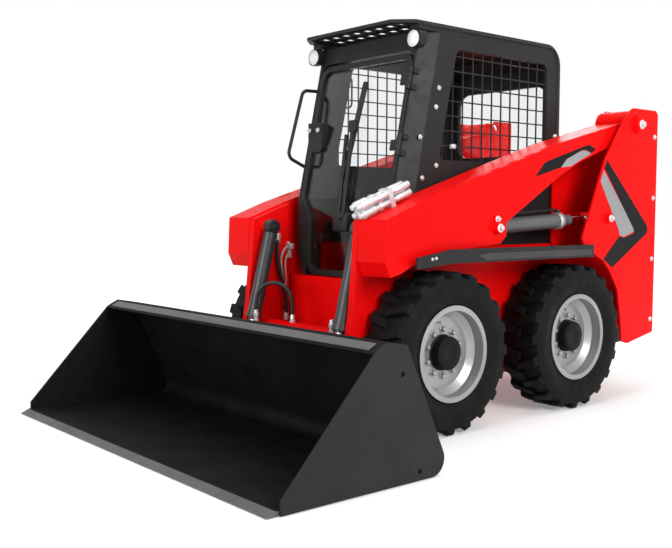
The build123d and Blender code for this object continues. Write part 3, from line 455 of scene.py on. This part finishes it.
def lug(bm, centre, side, angle):
    """A tread bar from past the tyre's middle over its shoulder on to the sidewall."""
    inner, outer = LUG_INNER_END, LUG_OUTER_END
    loops = []
    for base_y, base_radius, top_y, top_radius in LUG_STATIONS:
        share = (top_y - inner["y"]) / (outer["y"] - inner["y"])
        lead = inner["lead"] + share * (outer["lead"] - inner["lead"])
        half = (inner["width"] + share * (outer["width"] - inner["width"])) / 2
        loop = []
        for sideways, height in LUG_SECTION:
            radius = base_radius + height * (top_radius - base_radius)
            y = base_y + height * (top_y - base_y)
            loop.append(bm.verts.new(around(centre, side, angle, radius, lead + half * sideways, y)))
        loops.append(loop)
    skin(bm, loops)


def tyre(wheel):
    centre, side = wheel_place(wheel)
    section = list(TYRE_PROFILE) + [(radius, -y) for radius, y in reversed(TYRE_PROFILE)]
    bm = bmesh.new()
    loops = []
    for step in range(TYRE_STEPS):
        angle = 2 * math.pi * step / TYRE_STEPS
        loops.append([bm.verts.new(around(centre, side, angle, radius, 0, y)) for radius, y in section])
    skin(bm, loops + loops[:1], capped=False)
    pitch = 2 * math.pi / LUG_COUNT
    for step in range(LUG_COUNT):
        lug(bm, centre, side, step * pitch)
        lug(bm, centre, -side, (step + 0.5) * pitch)
    made = piece(f"treaded_tyre_{wheel}", bm, RUBBER, f"wheel_{wheel}", 40)
    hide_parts(f"tyre_{wheel}")


def wheel_trim(wheel):
    """Nuts, valve and black hub cap."""
    centre, side = wheel_place(wheel)
    outward = (0, side, 0)
    nuts = bmesh.new()
    for step in range(NUT_COUNT):
        spot = around(centre, side, 2 * math.pi * step / NUT_COUNT, NUT_CIRCLE, 0, DISC_FACE)
        bolt(nuts, spot, outward, *NUT_SIZE)
    spot = around(centre, side, math.pi / NUT_COUNT, VALVE_CIRCLE, 0, DISC_FACE)
    lathe(nuts, facing(spot, outward), VALVE_RINGS, 12)
    piece(f"wheel_nuts_{wheel}", nuts, SILVER, f"wheel_{wheel}")
    cap = bmesh.new()
    lathe(cap, facing(centre, outward), HUB_CAP_RINGS, 48)
    piece(f"hub_cover_{wheel}", cap, BLACK_FILM, f"wheel_{wheel}")


# Decals without words, as (x, z) outlines
FILM = 0.9
FILM_GAP = 0.05
TOWER_FACE = 640
ARM_FACE = 600
TOWER_BLACK = (
    (-237, 1295), (-630, 952), (-643, 923), (-628, 900), (-304, 725), (-222, 772), (-366, 892), (-412, 883),
    (-502, 904), (-506, 924), (-212, 1253),
)
TOWER_GREY = ((-206, 1243), (-501, 935), (-504, 915), (-411, 888), (-371, 894), (-355, 931), (-180, 1181))
ARM_BLACK = (
    (316, 1194), (247, 1263), (222, 1274), (-78, 1361), (-133, 1372), (-190, 1352), (-150, 1330),
    (-121, 1340), (-93, 1345), (-65, 1341), (63, 1291), (110, 1247),
)
ARM_GREY = (
    (110, 1247), (63, 1291), (-61, 1338), (-93, 1342), (-121, 1337), (-148, 1328), (-91, 1304), (-54, 1290),
    (26, 1254),
)
FENDER_FACE = 657
FENDER_STRIP = ((-92, 798), (-92, 830), (700, 830), (800, 822), (740, 798))
DECALS = (
    # name, outline, face, finish, body, slot
    ("tower_black_film", TOWER_BLACK, TOWER_FACE, BLACK_FILM, "chassis", "black_paint"),
    ("tower_grey_film", TOWER_GREY, TOWER_FACE, GREY, "chassis", "silver_paint"),
    ("arm_black_film", ARM_BLACK, ARM_FACE, BLACK_FILM, "lift_arm", "black_paint"),
    ("arm_grey_film", ARM_GREY, ARM_FACE, GREY, "lift_arm", "silver_paint"),
    ("fender_grey_film", FENDER_STRIP, FENDER_FACE, FENDER_GREY, "chassis", "black_paint"),
)


def decals():
    for name, outline, face, finish, body, slot in DECALS:
        for side, sign in SIDES.items():
            bm = bmesh.new()
            plate(bm, outline, face + FILM_GAP, face + FILM, sign)
            piece(f"{name}_{side}", bm, finish, body)


# Bolts, bosses and latches
BOLT_GROUPS = (
    # name, body, y of the face, head radius and height, places (x, z)
    ("cab_side_bolts", "chassis", 392, (8, 9),
     ((792, 1607), (811, 1516), (916, 1369), (900, 1178), (806, 1240), (-80, 1240))),
    ("fender_bolts", "chassis", 657, (5, 6), ((1100, 812), (1076, 815))),
    ("tower_back_bolts", "chassis", 640, (9, 9), ((-690, 1440), (-690, 1100), (-690, 760), (-690, 420))),
)
BOSSES = (
    # name, body, (x, z), y of the face, boss radius and height, bolt radius and height
    ("pivot_boss", "chassis", (-520, 1498), 654, (38, 12), (17, 18)),
    ("rod_pin_boss", "chassis", (-257, 988), 652, (24, 8), (13, 15)),
    ("barrel_pin_boss", "lift_arm", (608, 944), 612, (26, 16), (14, 16)),
    ("barrel_keeper", "lift_arm", (606, 986), 600, (20, 8), (11, 14)),
)
NOSE_HOLE = (1274, 958)
NOSE_HOLE_RINGS = ((27, 0), (27, 3), (24, 4), (19, 3.4), (17, 1.2))
LATCH_PLACES = ((686, 1335), (-118, 1427))
LATCH_Y = 388
LATCH_SIZE = (38, 12, 22)
KNOB_SHIFT = 6
KNOB_Y = 394
KNOB_RINGS = ((12, 0), (12, 6), (8, 9))


def bolts():
    for name, body, face, size, places in BOLT_GROUPS:
        for side, sign in SIDES.items():
            bm = bmesh.new()
            for x, z in places:
                bolt(bm, at(x, sign * face, z), (0, sign, 0), *size)
            piece(f"{name}_{side}", bm, ZINC, body)


def bosses():
    for name, body, (x, z), face, (radius, height), size in BOSSES:
        for side, sign in SIDES.items():
            outward = (0, sign, 0)
            bm = bmesh.new()
            rings = ((radius, 0), (radius, 0.7 * height), (0.9 * radius, height))
            lathe(bm, facing(at(x, sign * face, z), outward), rings, 40)
            piece(f"{name}_{side}", bm, RED, body)
            head = bmesh.new()
            bolt(head, at(x, sign * (face + height), z), outward, *size)
            piece(f"{name}_bolt_{side}", head, ZINC, body)
    for side, sign in SIDES.items():
        bm = bmesh.new()
        place = at(NOSE_HOLE[0], sign * ARM_FACE, NOSE_HOLE[1])
        lathe(bm, facing(place, (0, sign, 0)), NOSE_HOLE_RINGS, 40)
        piece(f"nose_plug_{side}", bm, RED, "lift_arm")


def latches():
    """Window latches with round knobs on the cab's sides."""
    for side, sign in SIDES.items():
        bm = bmesh.new()
        for x, z in LATCH_PLACES:
            lathe(bm, facing(at(x + KNOB_SHIFT, sign * KNOB_Y, z), (0, sign, 0)), KNOB_RINGS, 20)
        for x, z in LATCH_PLACES:
            block(bm, Matrix.Translation(at(x, sign * LATCH_Y, z)), LATCH_SIZE, 4)
        piece(f"window_latches_{side}", bm, ZINC, "chassis")


# Roof edges
ROOF_EDGE = ((908, 1893), (70, 1893), (-135, 1893), (-135, 1688), (-135, 1180))
ROOF_EDGE_Y = 390
ROOF_EDGE_RADIUS = 9


def roof_edges():
    """The rounded seam along each cab side's top and rear edges."""
    for side, sign in SIDES.items():
        route = [(x, sign * ROOF_EDGE_Y, z) for x, z in ROOF_EDGE]
        tube(f"roof_edge_{side}", route, ROOF_EDGE_RADIUS, BLACK, "chassis")


# Lift arm
ARM_PADS = (((1013, 1095), (934, 1119)), ((757, 1174), (694, 1193)), ((630, 1213), (571, 1231)),
            ((504, 1252), (443, 1271)), ((377, 1291), (310, 1312)), ((250, 1330), (190, 1349)))
PAD_Y = 582
PAD_SIZE = (14, 7)
COUPLER_FRONT = (1322, 985)
COUPLER_REAR = (1100, 1068)
COUPLER_Y = (428, 468)
COUPLER_LIFT = (24, 62)
COUPLER_RIBS = (-8, 4, 16, 28, 40, 52)
RIB_RINGS = ((18, 0), (20.5, 1.5), (20.5, 5.5), (18, 7))
# Start, radius and length, then how far the ends step in and over what run
COUPLER_NUT = (82, 20, 26, 2, 2)
COUPLER_SLEEVE = (196, 16.5, 96, 1, 3)
COUPLER_NOSE_RINGS = ((10, -30), (13, -29), (13, -12), (15, -11.5), (15, -4))


def arm_pads():
    """Low pads along the top of each arm."""
    for side, sign in SIDES.items():
        bm = bmesh.new()
        for (x, z), (far_x, far_z) in ARM_PADS:
            bar(bm, at(x, sign * PAD_Y, z), at(far_x, sign * PAD_Y, far_z), PAD_SIZE, 3)
        piece(f"arm_pads_{side}", bm, RED, "lift_arm")


def with_narrow_ends(start, radius, length, step, run):
    """Rings of a round body that narrows at both ends."""
    end = start + length
    return ((radius - step, start), (radius, start + run), (radius, end - run), (radius - step, end))


def coupler_trim():
    """Ribbed collars, nuts and hose sleeves on the quick couplers."""
    front, rear = (at(x, 0, z) for x, z in (COUPLER_FRONT, COUPLER_REAR))
    along = (rear - front).normalized()
    upward = Vector((along.z, 0, -along.x))
    bm = bmesh.new()
    for y in COUPLER_Y:
        for lift in COUPLER_LIFT:
            base = front + (upward * lift + Vector((0, y, 0))) * MM
            for distance in COUPLER_RIBS:
                lathe(bm, facing(base + along * distance * MM, along), RIB_RINGS, 28)
            axis = facing(base, along)
            lathe(bm, axis, with_narrow_ends(*COUPLER_NUT), 6)
            lathe(bm, axis, with_narrow_ends(*COUPLER_SLEEVE), 24)
            lathe(bm, axis, COUPLER_NOSE_RINGS, 24)
    piece("coupler_trim", bm, ZINC, "lift_arm")


# Cylinders
LIFT_BASE = (608, 944)
LIFT_EYE = (-257, 988)
LIFT_Y = 512
LIFT_COLLAR_RINGS = ((43.6, 576), (45, 578), (45, 608), (43, 611), (30, 612))
LIFT_PIPE = ((96, 36), (96, 58), (120, 60), (330, 57), (540, 60), (566, 60), (592, 58), (592, 40))
LIFT_PORTS = (96, 592)
PORT_LIFT = 44
PORT_SIZE = (30, 30, 22)
PIPE_RADIUS = 7
TILT_TOP = (1243, 940)
EYE_CAP_RINGS = ((34, 0), (34, 7), (30, 11), (13, 11.5), (12, 14), (9, 15))
TILT_EYE_FACE = 312
TILT_PORT = (1370, 294, 470)
TILT_PORT_RINGS = ((13, -14), (13, 12), (11, 14), (11, 26), (14, 27), (14, 44), (11, 46), (10, 62))


def beside_lift(distance, lift, sign):
    """A place along a lift barrel from its pin and above its axis."""
    base, eye = (Vector((x, 0, z)) for x, z in (LIFT_BASE, LIFT_EYE))
    along = (eye - base).normalized()
    upward = Vector((along.z, 0, -along.x))
    spot = base + along * distance + upward * lift
    return (spot.x, sign * LIFT_Y, spot.z)


def lift_trim():
    """A bright collar at each lift cylinder's gland, with the pipe that feeds it."""
    for side, sign in SIDES.items():
        body = f"lift_barrel_{side}_body"
        base, eye = at(*beside_lift(0, 0, sign)), at(*beside_lift(1, 0, sign))
        collar = bmesh.new()
        lathe(collar, facing(base, eye - base), LIFT_COLLAR_RINGS, 40)
        piece(f"lift_collar_{side}", collar, ZINC, body)
        ports = bmesh.new()
        for distance in LIFT_PORTS:
            spot = at(*beside_lift(distance, PORT_LIFT, sign))
            block(ports, facing(spot, eye - base), PORT_SIZE, 4)
        piece(f"lift_ports_{side}", ports, CYLINDER, body)
        route = [beside_lift(distance, lift, sign) for distance, lift in LIFT_PIPE]
        tube(f"lift_pipe_{side}", route, PIPE_RADIUS, BLACK, body)


def tilt_trim():
    """Black caps on the tilt cylinders' pins and a bright port on each barrel."""
    for side, sign in SIDES.items():
        barrel = f"tilt_barrel_{side}_body"
        cap = bmesh.new()
        spot = at(TILT_TOP[0], sign * TILT_EYE_FACE, TILT_TOP[1])
        lathe(cap, facing(spot, (0, -sign, 0)), EYE_CAP_RINGS, 40)
        piece(f"tilt_pin_cap_{side}", cap, BLACK, barrel)
        port = bmesh.new()
        x, y, z = TILT_PORT
        lathe(port, facing(at(x, sign * y, z), (0, 0, 1)), TILT_PORT_RINGS, 20)
        piece(f"tilt_port_{side}", port, ZINC, barrel)


# Hoses
HOSE_RADIUS = 9.5
LEG_HOSE = ((1180, -366, 892), (1184, -362, 850), (1190, -358, 770), (1168, -358, 690), (1138, -358, 590),
            (1128, -362, 500), (1126, -366, 470))
LOOP_HOSE = ((1372, -292, 530), (1372, -292, 575), (1362, -277, 632), (1336, -238, 666), (1302, -187, 666),
             (1275, -147, 632), (1265, -132, 575), (1265, -132, 488))
PALE_RADIUS = 4.5
PALE_HOSES = (
    ((1112, -370, 842), (1130, -362, 836), (1160, -360, 800), (1165, -360, 750), (1150, -364, 690),
     (1146, -370, 668)),
    ((1112, -370, 800), (1124, -362, 792), (1138, -360, 760), (1136, -360, 712), (1128, -362, 668),
     (1126, -370, 640)),
)
PALE_LENGTHS = (0.20, 0.17)
HOSE_BLOCKS = (
    # middle, size
    ((1106, -374, 820), (16, 14, 84)),
    ((1112, -358, 838), (24, 44, 30)),
    ((1112, -362, 802), (18, 24, 46)),
    ((1146, -374, 668), (16, 14, 12)),
    ((1126, -374, 640), (16, 14, 12)),
)
HOSE_FITTINGS = (
    # place, direction
    ((1180, -366, 892), (0, 0, -1)),
    ((1126, -366, 470), (0, 0, 1)),
    ((1265, -132, 474), (0, 0, 1)),
)
FITTING_RINGS = ((15, -14), (15, 8), (12, 10), (12, 24), (11, 26), (10.5, 38))


def loop_hose():
    """The hose from the right tilt barrel's port to the cross tube."""
    path = line_points("loop_hose_line", LOOP_HOSE)
    bm = bmesh.new()
    sweep(bm, path, HOSE_RADIUS)
    mesh = smooth_mesh("loop_hose", bm)
    mesh.materials.append(HOSE)
    made = bpy.data.objects.new("loop_hose", mesh)
    bpy.context.scene.collection.objects.link(made)
    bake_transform(made)


def hoses():
    rubber = tube("leg_hose", LEG_HOSE, HOSE_RADIUS, HOSE, "lift_arm")
    loop_hose()
    for number, (route, length) in enumerate(zip(PALE_HOSES, PALE_LENGTHS)):
        line = tube(f"pale_line_{number}", route, PALE_RADIUS, PALE_HOSE, "lift_arm")
    bm = bmesh.new()
    for place, direction in HOSE_FITTINGS:
        lathe(bm, facing(at(*place), direction), FITTING_RINGS, 20)
    for middle, size in HOSE_BLOCKS:
        block(bm, Matrix.Translation(at(*middle)), size, 3)
    piece("hose_fittings", bm, ZINC, "lift_arm")


# Cab front
FRONT_BEND = (1052, 1085)
FRONT_SLOPE = -147 / 690
WIPER_BARS = (
    # ends as y, z and distance ahead of the front, then size and edge: blade, rubber, arm, link
    ((-24, 1176, 6), (29, 1659, 6), (30, 14), 3),
    ((-18, 1176, -4), (35, 1659, -4), (6, 14), 2),
    ((26, 995, 24), (6, 1440, 20), (18, 14), 3),
    ((-8, 995, 24), (-31.6, 1400, 20), (18, 14), 3),
)
WIPER_BLOCKS = (
    # middle, size, edge: blade holder, motor
    ((2, 1440, 14), (24, 44, 60), 6),
    ((10, 965, 14), (44, 110, 90), 12),
)
WIPER_SPINDLE = (26, 995, 14)
SPINDLE_RINGS = ((20, 0), (20, 20), (14, 28), (8, 32))
LOCK_BOLTS = ((-322, 1436), (-254, 1436))
LOCK_FACE = 30
LOCK_BOLT_SIZE = (8, 10)
MIRROR = {"x": 868, "y": (-330, -150), "z": (1555, 1705), "round": 45, "lead": 30, "post": -380}
MIRROR_ROD = 5


def on_front(y, z, out):
    """A place in front of the cab's bent front face."""
    rise = max(0, z - FRONT_BEND[1])
    return at(FRONT_BEND[0] + FRONT_SLOPE * rise + out, y, z)


def wiper():
    bm = bmesh.new()
    lathe(bm, facing(on_front(*WIPER_SPINDLE), (1, 0, 0)), SPINDLE_RINGS, 24)
    for start, end, size, edge in WIPER_BARS:
        bar(bm, on_front(*start), on_front(*end), size, edge)
    for middle, size, edge in WIPER_BLOCKS:
        block(bm, Matrix.Translation(on_front(*middle)), size, edge)
    piece("wiper", bm, BLACK, "cab_door")


def door_trim():
    bm = bmesh.new()
    for y, z in LOCK_BOLTS:
        bolt(bm, on_front(y, z, LOCK_FACE), (1, 0, -FRONT_SLOPE), *LOCK_BOLT_SIZE)
    piece("lock_bolts", bm, ZINC, "cab_door")


def cabin_mirror():
    """The mirror's frame of bent rod inside the front window, with its stem to the post."""
    (right, left), (low, high) = MIRROR["y"], MIRROR["z"]
    x, turn = MIRROR["x"], MIRROR["round"]
    route = ((x, right + turn, low), (x, right, low), (x, right, low + turn), (x, right, high - turn),
             (x, right, high), (x, right + turn, high), (x, left - turn, high), (x, left, high),
             (x, left, high - turn), (x, left, low + turn), (x, left, low), (x, left - turn, low),
             (x, right + turn, low))
    tube("mirror_frame", route, MIRROR_ROD, BLACK, "chassis")
    level = high - turn
    stem = ((x, right, level), (x, right - MIRROR["lead"], level), (x, MIRROR["post"], level))
    tube("mirror_stem", stem, MIRROR_ROD, BLACK, "chassis")


# Seat and levers
PAD_GRID = 28
SEAT_PAD = {"place": (340, 0, 912), "facing": (0, 0, 1), "size": (430, 470, 104)}
BACK_PAD = {"place": (118, 0, 1082), "facing": (0.988, 0, 0.155), "size": (460, 360, 104)}
PAD_SQUARENESS = 6
PAD_EDGE_FALL = 0.35
PAD_CROWN = 0.14
PAD_PULL = 0.035
SEAMS = (-0.42, 0.42)
SEAM_DEPTH = 0.22
SEAM_WIDTH = 0.05
LEVER_PLACE = (700, 270, 600)
LEVER_RINGS = (
    (60, 0), (60, 6), (50, 10), (53, 22), (42, 28), (45, 40), (33, 48), (36, 60), (20, 72), (12.5, 80),
    (12.5, 425), (19, 432), (22, 445), (19.5, 470), (22.5, 495), (19.5, 520), (22, 533), (17, 539),
    (6, 540),
)


def swell(u, v):
    """How full a pad is, from one in its middle to zero at its edges."""
    return ((1 - u ** PAD_SQUARENESS) * (1 - v ** PAD_SQUARENESS)) ** PAD_EDGE_FALL


def pad_point(pad, matrix, u, v, face):
    """A place on a crowned pad whose sides pull in between its corners."""
    width, depth, height = pad["size"]
    pull_x = 1 - PAD_PULL * (1 - v * v) * u * u
    pull_y = 1 - PAD_PULL * (1 - u * u) * v * v
    full = swell(u, v)
    crown = 1 - PAD_CROWN + PAD_CROWN * (1 - u * u) * (1 - v * v)
    groove = sum(math.exp(-((u - seam) / SEAM_WIDTH) ** 2) for seam in SEAMS) * SEAM_DEPTH
    raised = full * crown * (1 - groove * (1 - v ** 8)) if face > 0 else full ** 0.5
    spot = Vector((width / 2 * u * pull_x, depth / 2 * v * pull_y, face * height / 2 * raised))
    return matrix @ (spot * MM)


def cushion(name, pad):
    matrix = facing(at(*pad["place"]), pad["facing"])
    ticks = [math.sin(math.pi / 2 * (2 * step / PAD_GRID - 1)) for step in range(PAD_GRID + 1)]
    bm = bmesh.new()
    for face in (1, -1):
        rows = [[bm.verts.new(pad_point(pad, matrix, u, v, face)) for v in ticks] for u in ticks]
        for row, other in zip(rows, rows[1:]):
            for step in range(PAD_GRID):
                bm.faces.new((row[step], other[step], other[step + 1], row[step + 1]))
    bmesh.ops.remove_doubles(bm, verts=bm.verts, dist=0.0001)
    made = piece(name, bm, VINYL, "chassis", 60)
    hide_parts("seat")


def levers():
    bm = bmesh.new()
    x, y, z = LEVER_PLACE
    for sign in SIDES.values():
        lathe(bm, facing(at(x, sign * y, z), (0, 0, 1)), LEVER_RINGS, 28)
    made = piece("lever_sticks", bm, BLACK, "chassis", 50)
    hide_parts("control_levers")


# Bucket
LIP_TOP = (1754, 536.6)
LIP_FRONT = (1794, 516.2)
LIP_THICKNESS = 3
LIP_HALF = 1008
EDGE_PAINT = {"x": (2151, 2239), "z": 22, "half": 1043, "thickness": 0.8}
SIDE_HOLES = ((1664, 421), (1570, 39))
HOLE_PLUG_RINGS = ((11, -2), (11, 1), (9, 2))
HOLE_PLUG_Y = 1049
WELD_X = 2149
WELD_LOW = 14
WELD_RADIUS = 8
WELD_HALF = 1000
WELD_COUNT = 16
WELD_SHARE = 0.5
WELD_RIPPLES = 8
RIPPLE_DEPTH = 0.14
WELD_END = 0.15
WELD_END_FALL = 0.25
WELD_STATIONS = 25
WELD_ARC = 6


def weld(bm, start, end):
    """One rippled bead along the bucket floor, from one y to another."""
    loops = []
    for step in range(WELD_STATIONS):
        share = step / (WELD_STATIONS - 1)
        ripple = 1 - RIPPLE_DEPTH + RIPPLE_DEPTH * math.cos(2 * math.pi * WELD_RIPPLES * share)
        radius = WELD_RADIUS * ripple * max(WELD_END, math.sin(math.pi * share)) ** WELD_END_FALL
        loop = []
        for turn in range(WELD_ARC + 1):
            angle = math.pi * turn / WELD_ARC
            loop.append(bm.verts.new(at(WELD_X + radius * math.cos(angle), start + share * (end - start),
                                        WELD_LOW + radius * math.sin(angle))))
        loops.append(loop)
    skin(bm, loops)


def lip_highlight_strip():
    """A paler band along the bucket's upper lip: a painted highlight where light falls on the lip's upward
    face.
    """
    (x, z), (far_x, far_z) = LIP_TOP, LIP_FRONT
    outline = ((x, z), (far_x, far_z), (far_x + 1, far_z + LIP_THICKNESS), (x + 1, z + LIP_THICKNESS))
    bm = bmesh.new()
    plate(bm, outline, -LIP_HALF, LIP_HALF, bevel=0.8)
    piece("lip_highlight_strip", bm, LIP_HIGHLIGHT, "bucket")


def bucket_paint():
    """Black paint on the flat of the cutting edge, and plugs in the side plates' holes, both in the bucket
    inside's near-black, which holds painted shade.
    """
    (low, high), half = EDGE_PAINT["x"], EDGE_PAINT["half"]
    base, top = EDGE_PAINT["z"] + FILM_GAP, EDGE_PAINT["z"] + EDGE_PAINT["thickness"]
    bm = bmesh.new()
    plate(bm, ((low, base), (high, base), (high, top), (low, top)), -half, half)
    piece("edge_paint", bm, BUCKET_INSIDE_SHADED, "bucket")
    plugs = bmesh.new()
    for sign in SIDES.values():
        for x, z in SIDE_HOLES:
            lathe(plugs, facing(at(x, sign * HOLE_PLUG_Y, z), (0, sign, 0)), HOLE_PLUG_RINGS, 32)
    piece("side_hole_plugs", plugs, BUCKET_INSIDE_SHADED, "bucket")


def bucket_welds():
    bm = bmesh.new()
    pitch = 2 * WELD_HALF / WELD_COUNT
    for step in range(WELD_COUNT):
        start = -WELD_HALF + (step + (1 - WELD_SHARE) / 2) * pitch
        weld(bm, start, start + WELD_SHARE * pitch)
    piece("edge_welds", bm, BUCKET, "bucket", 60)


# Lamps and rear door
LAMP_BEZEL = {"x": -727, "y": (480, 560), "z": (1180, 1300), "width": 9, "depth": 20}
LENS_RINGS = ((40, 0), (40, 5), (38, 8), (34, 9), (32, 12), (26, 15.5), (16, 18.5), (6, 20), (1.5, 20.2))
LENS_RIM_RINGS = ((42, -6), (43, 2), (42.5, 8), (40.5, 9.5), (38.5, 8.5), (38.5, 4))
LENS_BACK = 8
LENS_HALF = 36
SCREEN = {"x": -712, "half": 300, "z": (540, 1125), "pitch": 24, "wire": 5}
REAR_LATCH_BLOCKS = (
    # middle, size, edge
    ((-750, -335, 800), (18, 60, 130), 6),
    ((-760, -335, 790), (10, 40, 80), 4),
)
KEYHOLE = (-758, -335, 846)
KEYHOLE_RINGS = ((13, 0), (13, 4), (10, 6), (3, 6), (3, 4))


def lamp_bezels():
    """Black bars round and across the tail lamps."""
    bm = bmesh.new()
    (near, far), (low, high) = LAMP_BEZEL["y"], LAMP_BEZEL["z"]
    x, width, depth = LAMP_BEZEL["x"], LAMP_BEZEL["width"], LAMP_BEZEL["depth"]
    middle_y, middle_z = (near + far) / 2, (low + high) / 2
    upright, level = (depth, width, high - low + width), (depth, far - near, width)
    for sign in SIDES.values():
        for y in (near, far):
            block(bm, Matrix.Translation(at(x, sign * y, middle_z)), upright, 3)
        for z in (low, middle_z, high):
            block(bm, Matrix.Translation(at(x, sign * middle_y, z)), level, 3)
    piece("tail_lamp_bezels", bm, BLACK, "chassis")


def work_lamp_glass():
    """Round domed glasses in black rims, in place of the plain lenses."""
    low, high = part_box("lamp_lenses")
    x, y, z = high[0] - LENS_BACK * MM, high[1] - LENS_HALF * MM, (low[2] + high[2]) / 2
    glass, rims = bmesh.new(), bmesh.new()
    for sign in SIDES.values():
        place = facing(Vector((x, sign * y, z)), (1, 0, 0))
        lathe(glass, place, LENS_RINGS, 40)
        lathe(rims, place, LENS_RIM_RINGS, 40)
    lens = piece("work_lamp_glass", glass, LENS, "chassis")
    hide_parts("lamp_lenses")
    piece("work_lamp_rims", rims, BLACK, "chassis")


def rear_door_trim():
    """A wire screen behind the louvres and a latch at the free edge."""
    bm = bmesh.new()
    low, high = SCREEN["z"]
    half, x, wire = SCREEN["half"], SCREEN["x"], SCREEN["wire"]
    for step in range(int(2 * half / SCREEN["pitch"]) + 1):
        y = -half + step * SCREEN["pitch"]
        bar(bm, at(x, y, low), at(x, y, high), (wire, wire), 1)
    for step in range(int((high - low) / SCREEN["pitch"]) + 1):
        z = low + step * SCREEN["pitch"]
        bar(bm, at(x + wire, -half, z), at(x + wire, half, z), (wire, wire), 1)
    piece("louvre_screen", bm, BLACK, "rear_hatch")
    latch = bmesh.new()
    lathe(latch, facing(at(*KEYHOLE), (-1, 0, 0)), KEYHOLE_RINGS, 24)
    for middle, size, edge in REAR_LATCH_BLOCKS:
        block(latch, Matrix.Translation(at(*middle)), size, edge)
    piece("rear_latch", latch, BLACK, "rear_hatch")


def build_pieces():
    for wheel in WHEELS:
        tyre(wheel)
        wheel_trim(wheel)
    decals()
    bolts()
    bosses()
    latches()
    roof_edges()
    arm_pads()
    coupler_trim()
    lift_trim()
    tilt_trim()
    hoses()
    wiper()
    door_trim()
    cabin_mirror()
    cushion("seat_pad", SEAT_PAD)
    cushion("back_pad", BACK_PAD)
    levers()
    lip_highlight_strip()
    bucket_paint()
    bucket_welds()
    lamp_bezels()
    work_lamp_glass()
    rear_door_trim()


# Stage
CAMERA_PLACE = (4053.5, 3489.2, 1021.9)
CAMERA_AZIMUTH = 139.72
CAMERA_ELEVATION = 3.88
CAMERA_ROLL = 0.23
CAMERA_LENS = 49.86
WORLD_LIGHT = 0.34
FLOOR_SIZE = 30.0
# Camera-facing glow of the floor near the machine and far off; the weaker near glow is painted shade round
# the machine.
FLOOR_GLOW = (0.22, 0.82)
FLOOR_RANGE = (2.2, 6.0)


def set_camera():
    azimuth, elevation, roll = (math.radians(a) for a in (CAMERA_AZIMUTH, CAMERA_ELEVATION, CAMERA_ROLL))
    back = Vector((math.sin(azimuth) * math.cos(elevation), -math.cos(azimuth) * math.cos(elevation),
                   math.sin(elevation)))
    right = Vector((0, 0, 1)).cross(back).normalized()
    up = back.cross(right)
    turned = Matrix((right * math.cos(roll) + up * math.sin(roll),
                     up * math.cos(roll) - right * math.sin(roll), back)).transposed()
    camera = bpy.data.objects.new("camera", bpy.data.cameras.new("camera"))
    camera.data.lens = CAMERA_LENS
    camera.matrix_world = Matrix.Translation(at(*CAMERA_PLACE)) @ turned.to_4x4()
    bpy.context.scene.collection.objects.link(camera)
    bpy.context.scene.camera = camera


def seen_directly(tree):
    """One for rays from the camera, or mirrored or let through towards it."""
    path = add(tree, "LightPath", {})
    first = add(tree, "Math", {0: path.outputs["Is Camera Ray"], 1: path.outputs["Is Glossy Ray"]},
                operation="MAXIMUM")
    made = add(tree, "Math", {0: first.outputs[0], 1: path.outputs["Is Transmission Ray"]},
               operation="MAXIMUM")
    return made.outputs[0]


def set_world(light_strength):
    world = bpy.data.worlds.new("studio")
    bpy.context.scene.world = world
    world.use_nodes = True
    tree = world.node_tree
    tree.nodes.clear()
    strength = spread(tree, seen_directly(tree), light_strength, 1.0, 0.0, 1.0)
    light = add(tree, "Background", {"Color": (1, 1, 1, 1), "Strength": strength})
    add(tree, "OutputWorld", {"Surface": light.outputs[0]})


def set_floor(size, glow):
    bm = bmesh.new()
    bmesh.ops.create_grid(bm, x_segments=1, y_segments=1, size=size)
    mesh = bpy.data.meshes.new("floor")
    bm.to_mesh(mesh)
    bm.free()
    made, tree = new_material("pale_floor")
    face = add(tree, "BsdfDiffuse", {"Color": (0.90, 0.90, 0.90, 1)})
    place = add(tree, "NewGeometry", {})
    distance = add(tree, "VectorMath", {0: place.outputs["Position"]}, operation="LENGTH")
    near, far = FLOOR_RANGE
    # The glow grows with distance from the machine, so the floor close round it is painted darker.
    level = spread(tree, distance.outputs["Value"], glow[0], glow[1], near, far)
    shine = add(tree, "Math", {0: seen_directly(tree), 1: level}, operation="MULTIPLY")
    lift = add(tree, "Emission", {"Color": (1, 1, 1, 1), "Strength": shine.outputs[0]})
    finish_tree(tree, add(tree, "AddShader", {0: face.outputs[0], 1: lift.outputs[0]}))
    mesh.materials.append(made)
    floor = bpy.data.objects.new("floor", mesh)
    bpy.context.scene.collection.objects.link(floor)


LAMPS = (
    # name, place in metres, aim in metres, width, power
    ("key", (0.6, 6.4, 3.6), (0.1, 0.3, 0.7), 3.0, 315),
    ("front", (6.2, 0.6, 2.2), (0.4, 0.0, 0.6), 3.0, 210),
    ("top", (-0.5, 0.5, 6.5), (0.0, 0.0, 0.6), 4.0, 150),
    ("rear", (-6.0, -3.5, 4.0), (0.0, 0.0, 0.8), 3.0, 110),
)


def set_lamps():
    for name, place, aim, width, power in LAMPS:
        data = bpy.data.lights.new(name, "AREA")
        data.size = width
        data.energy = power
        lamp = bpy.data.objects.new(name, data)
        lamp.location = place
        lamp.rotation_euler = (Vector(aim) - Vector(place)).to_track_quat("-Z", "Y").to_euler()
        bpy.context.scene.collection.objects.link(lamp)


dress_nodes()
build_pieces()
set_camera()
set_world(WORLD_LIGHT)
set_floor(FLOOR_SIZE, FLOOR_GLOW)
set_lamps()
bpy.context.scene.view_settings.view_transform = "Standard"
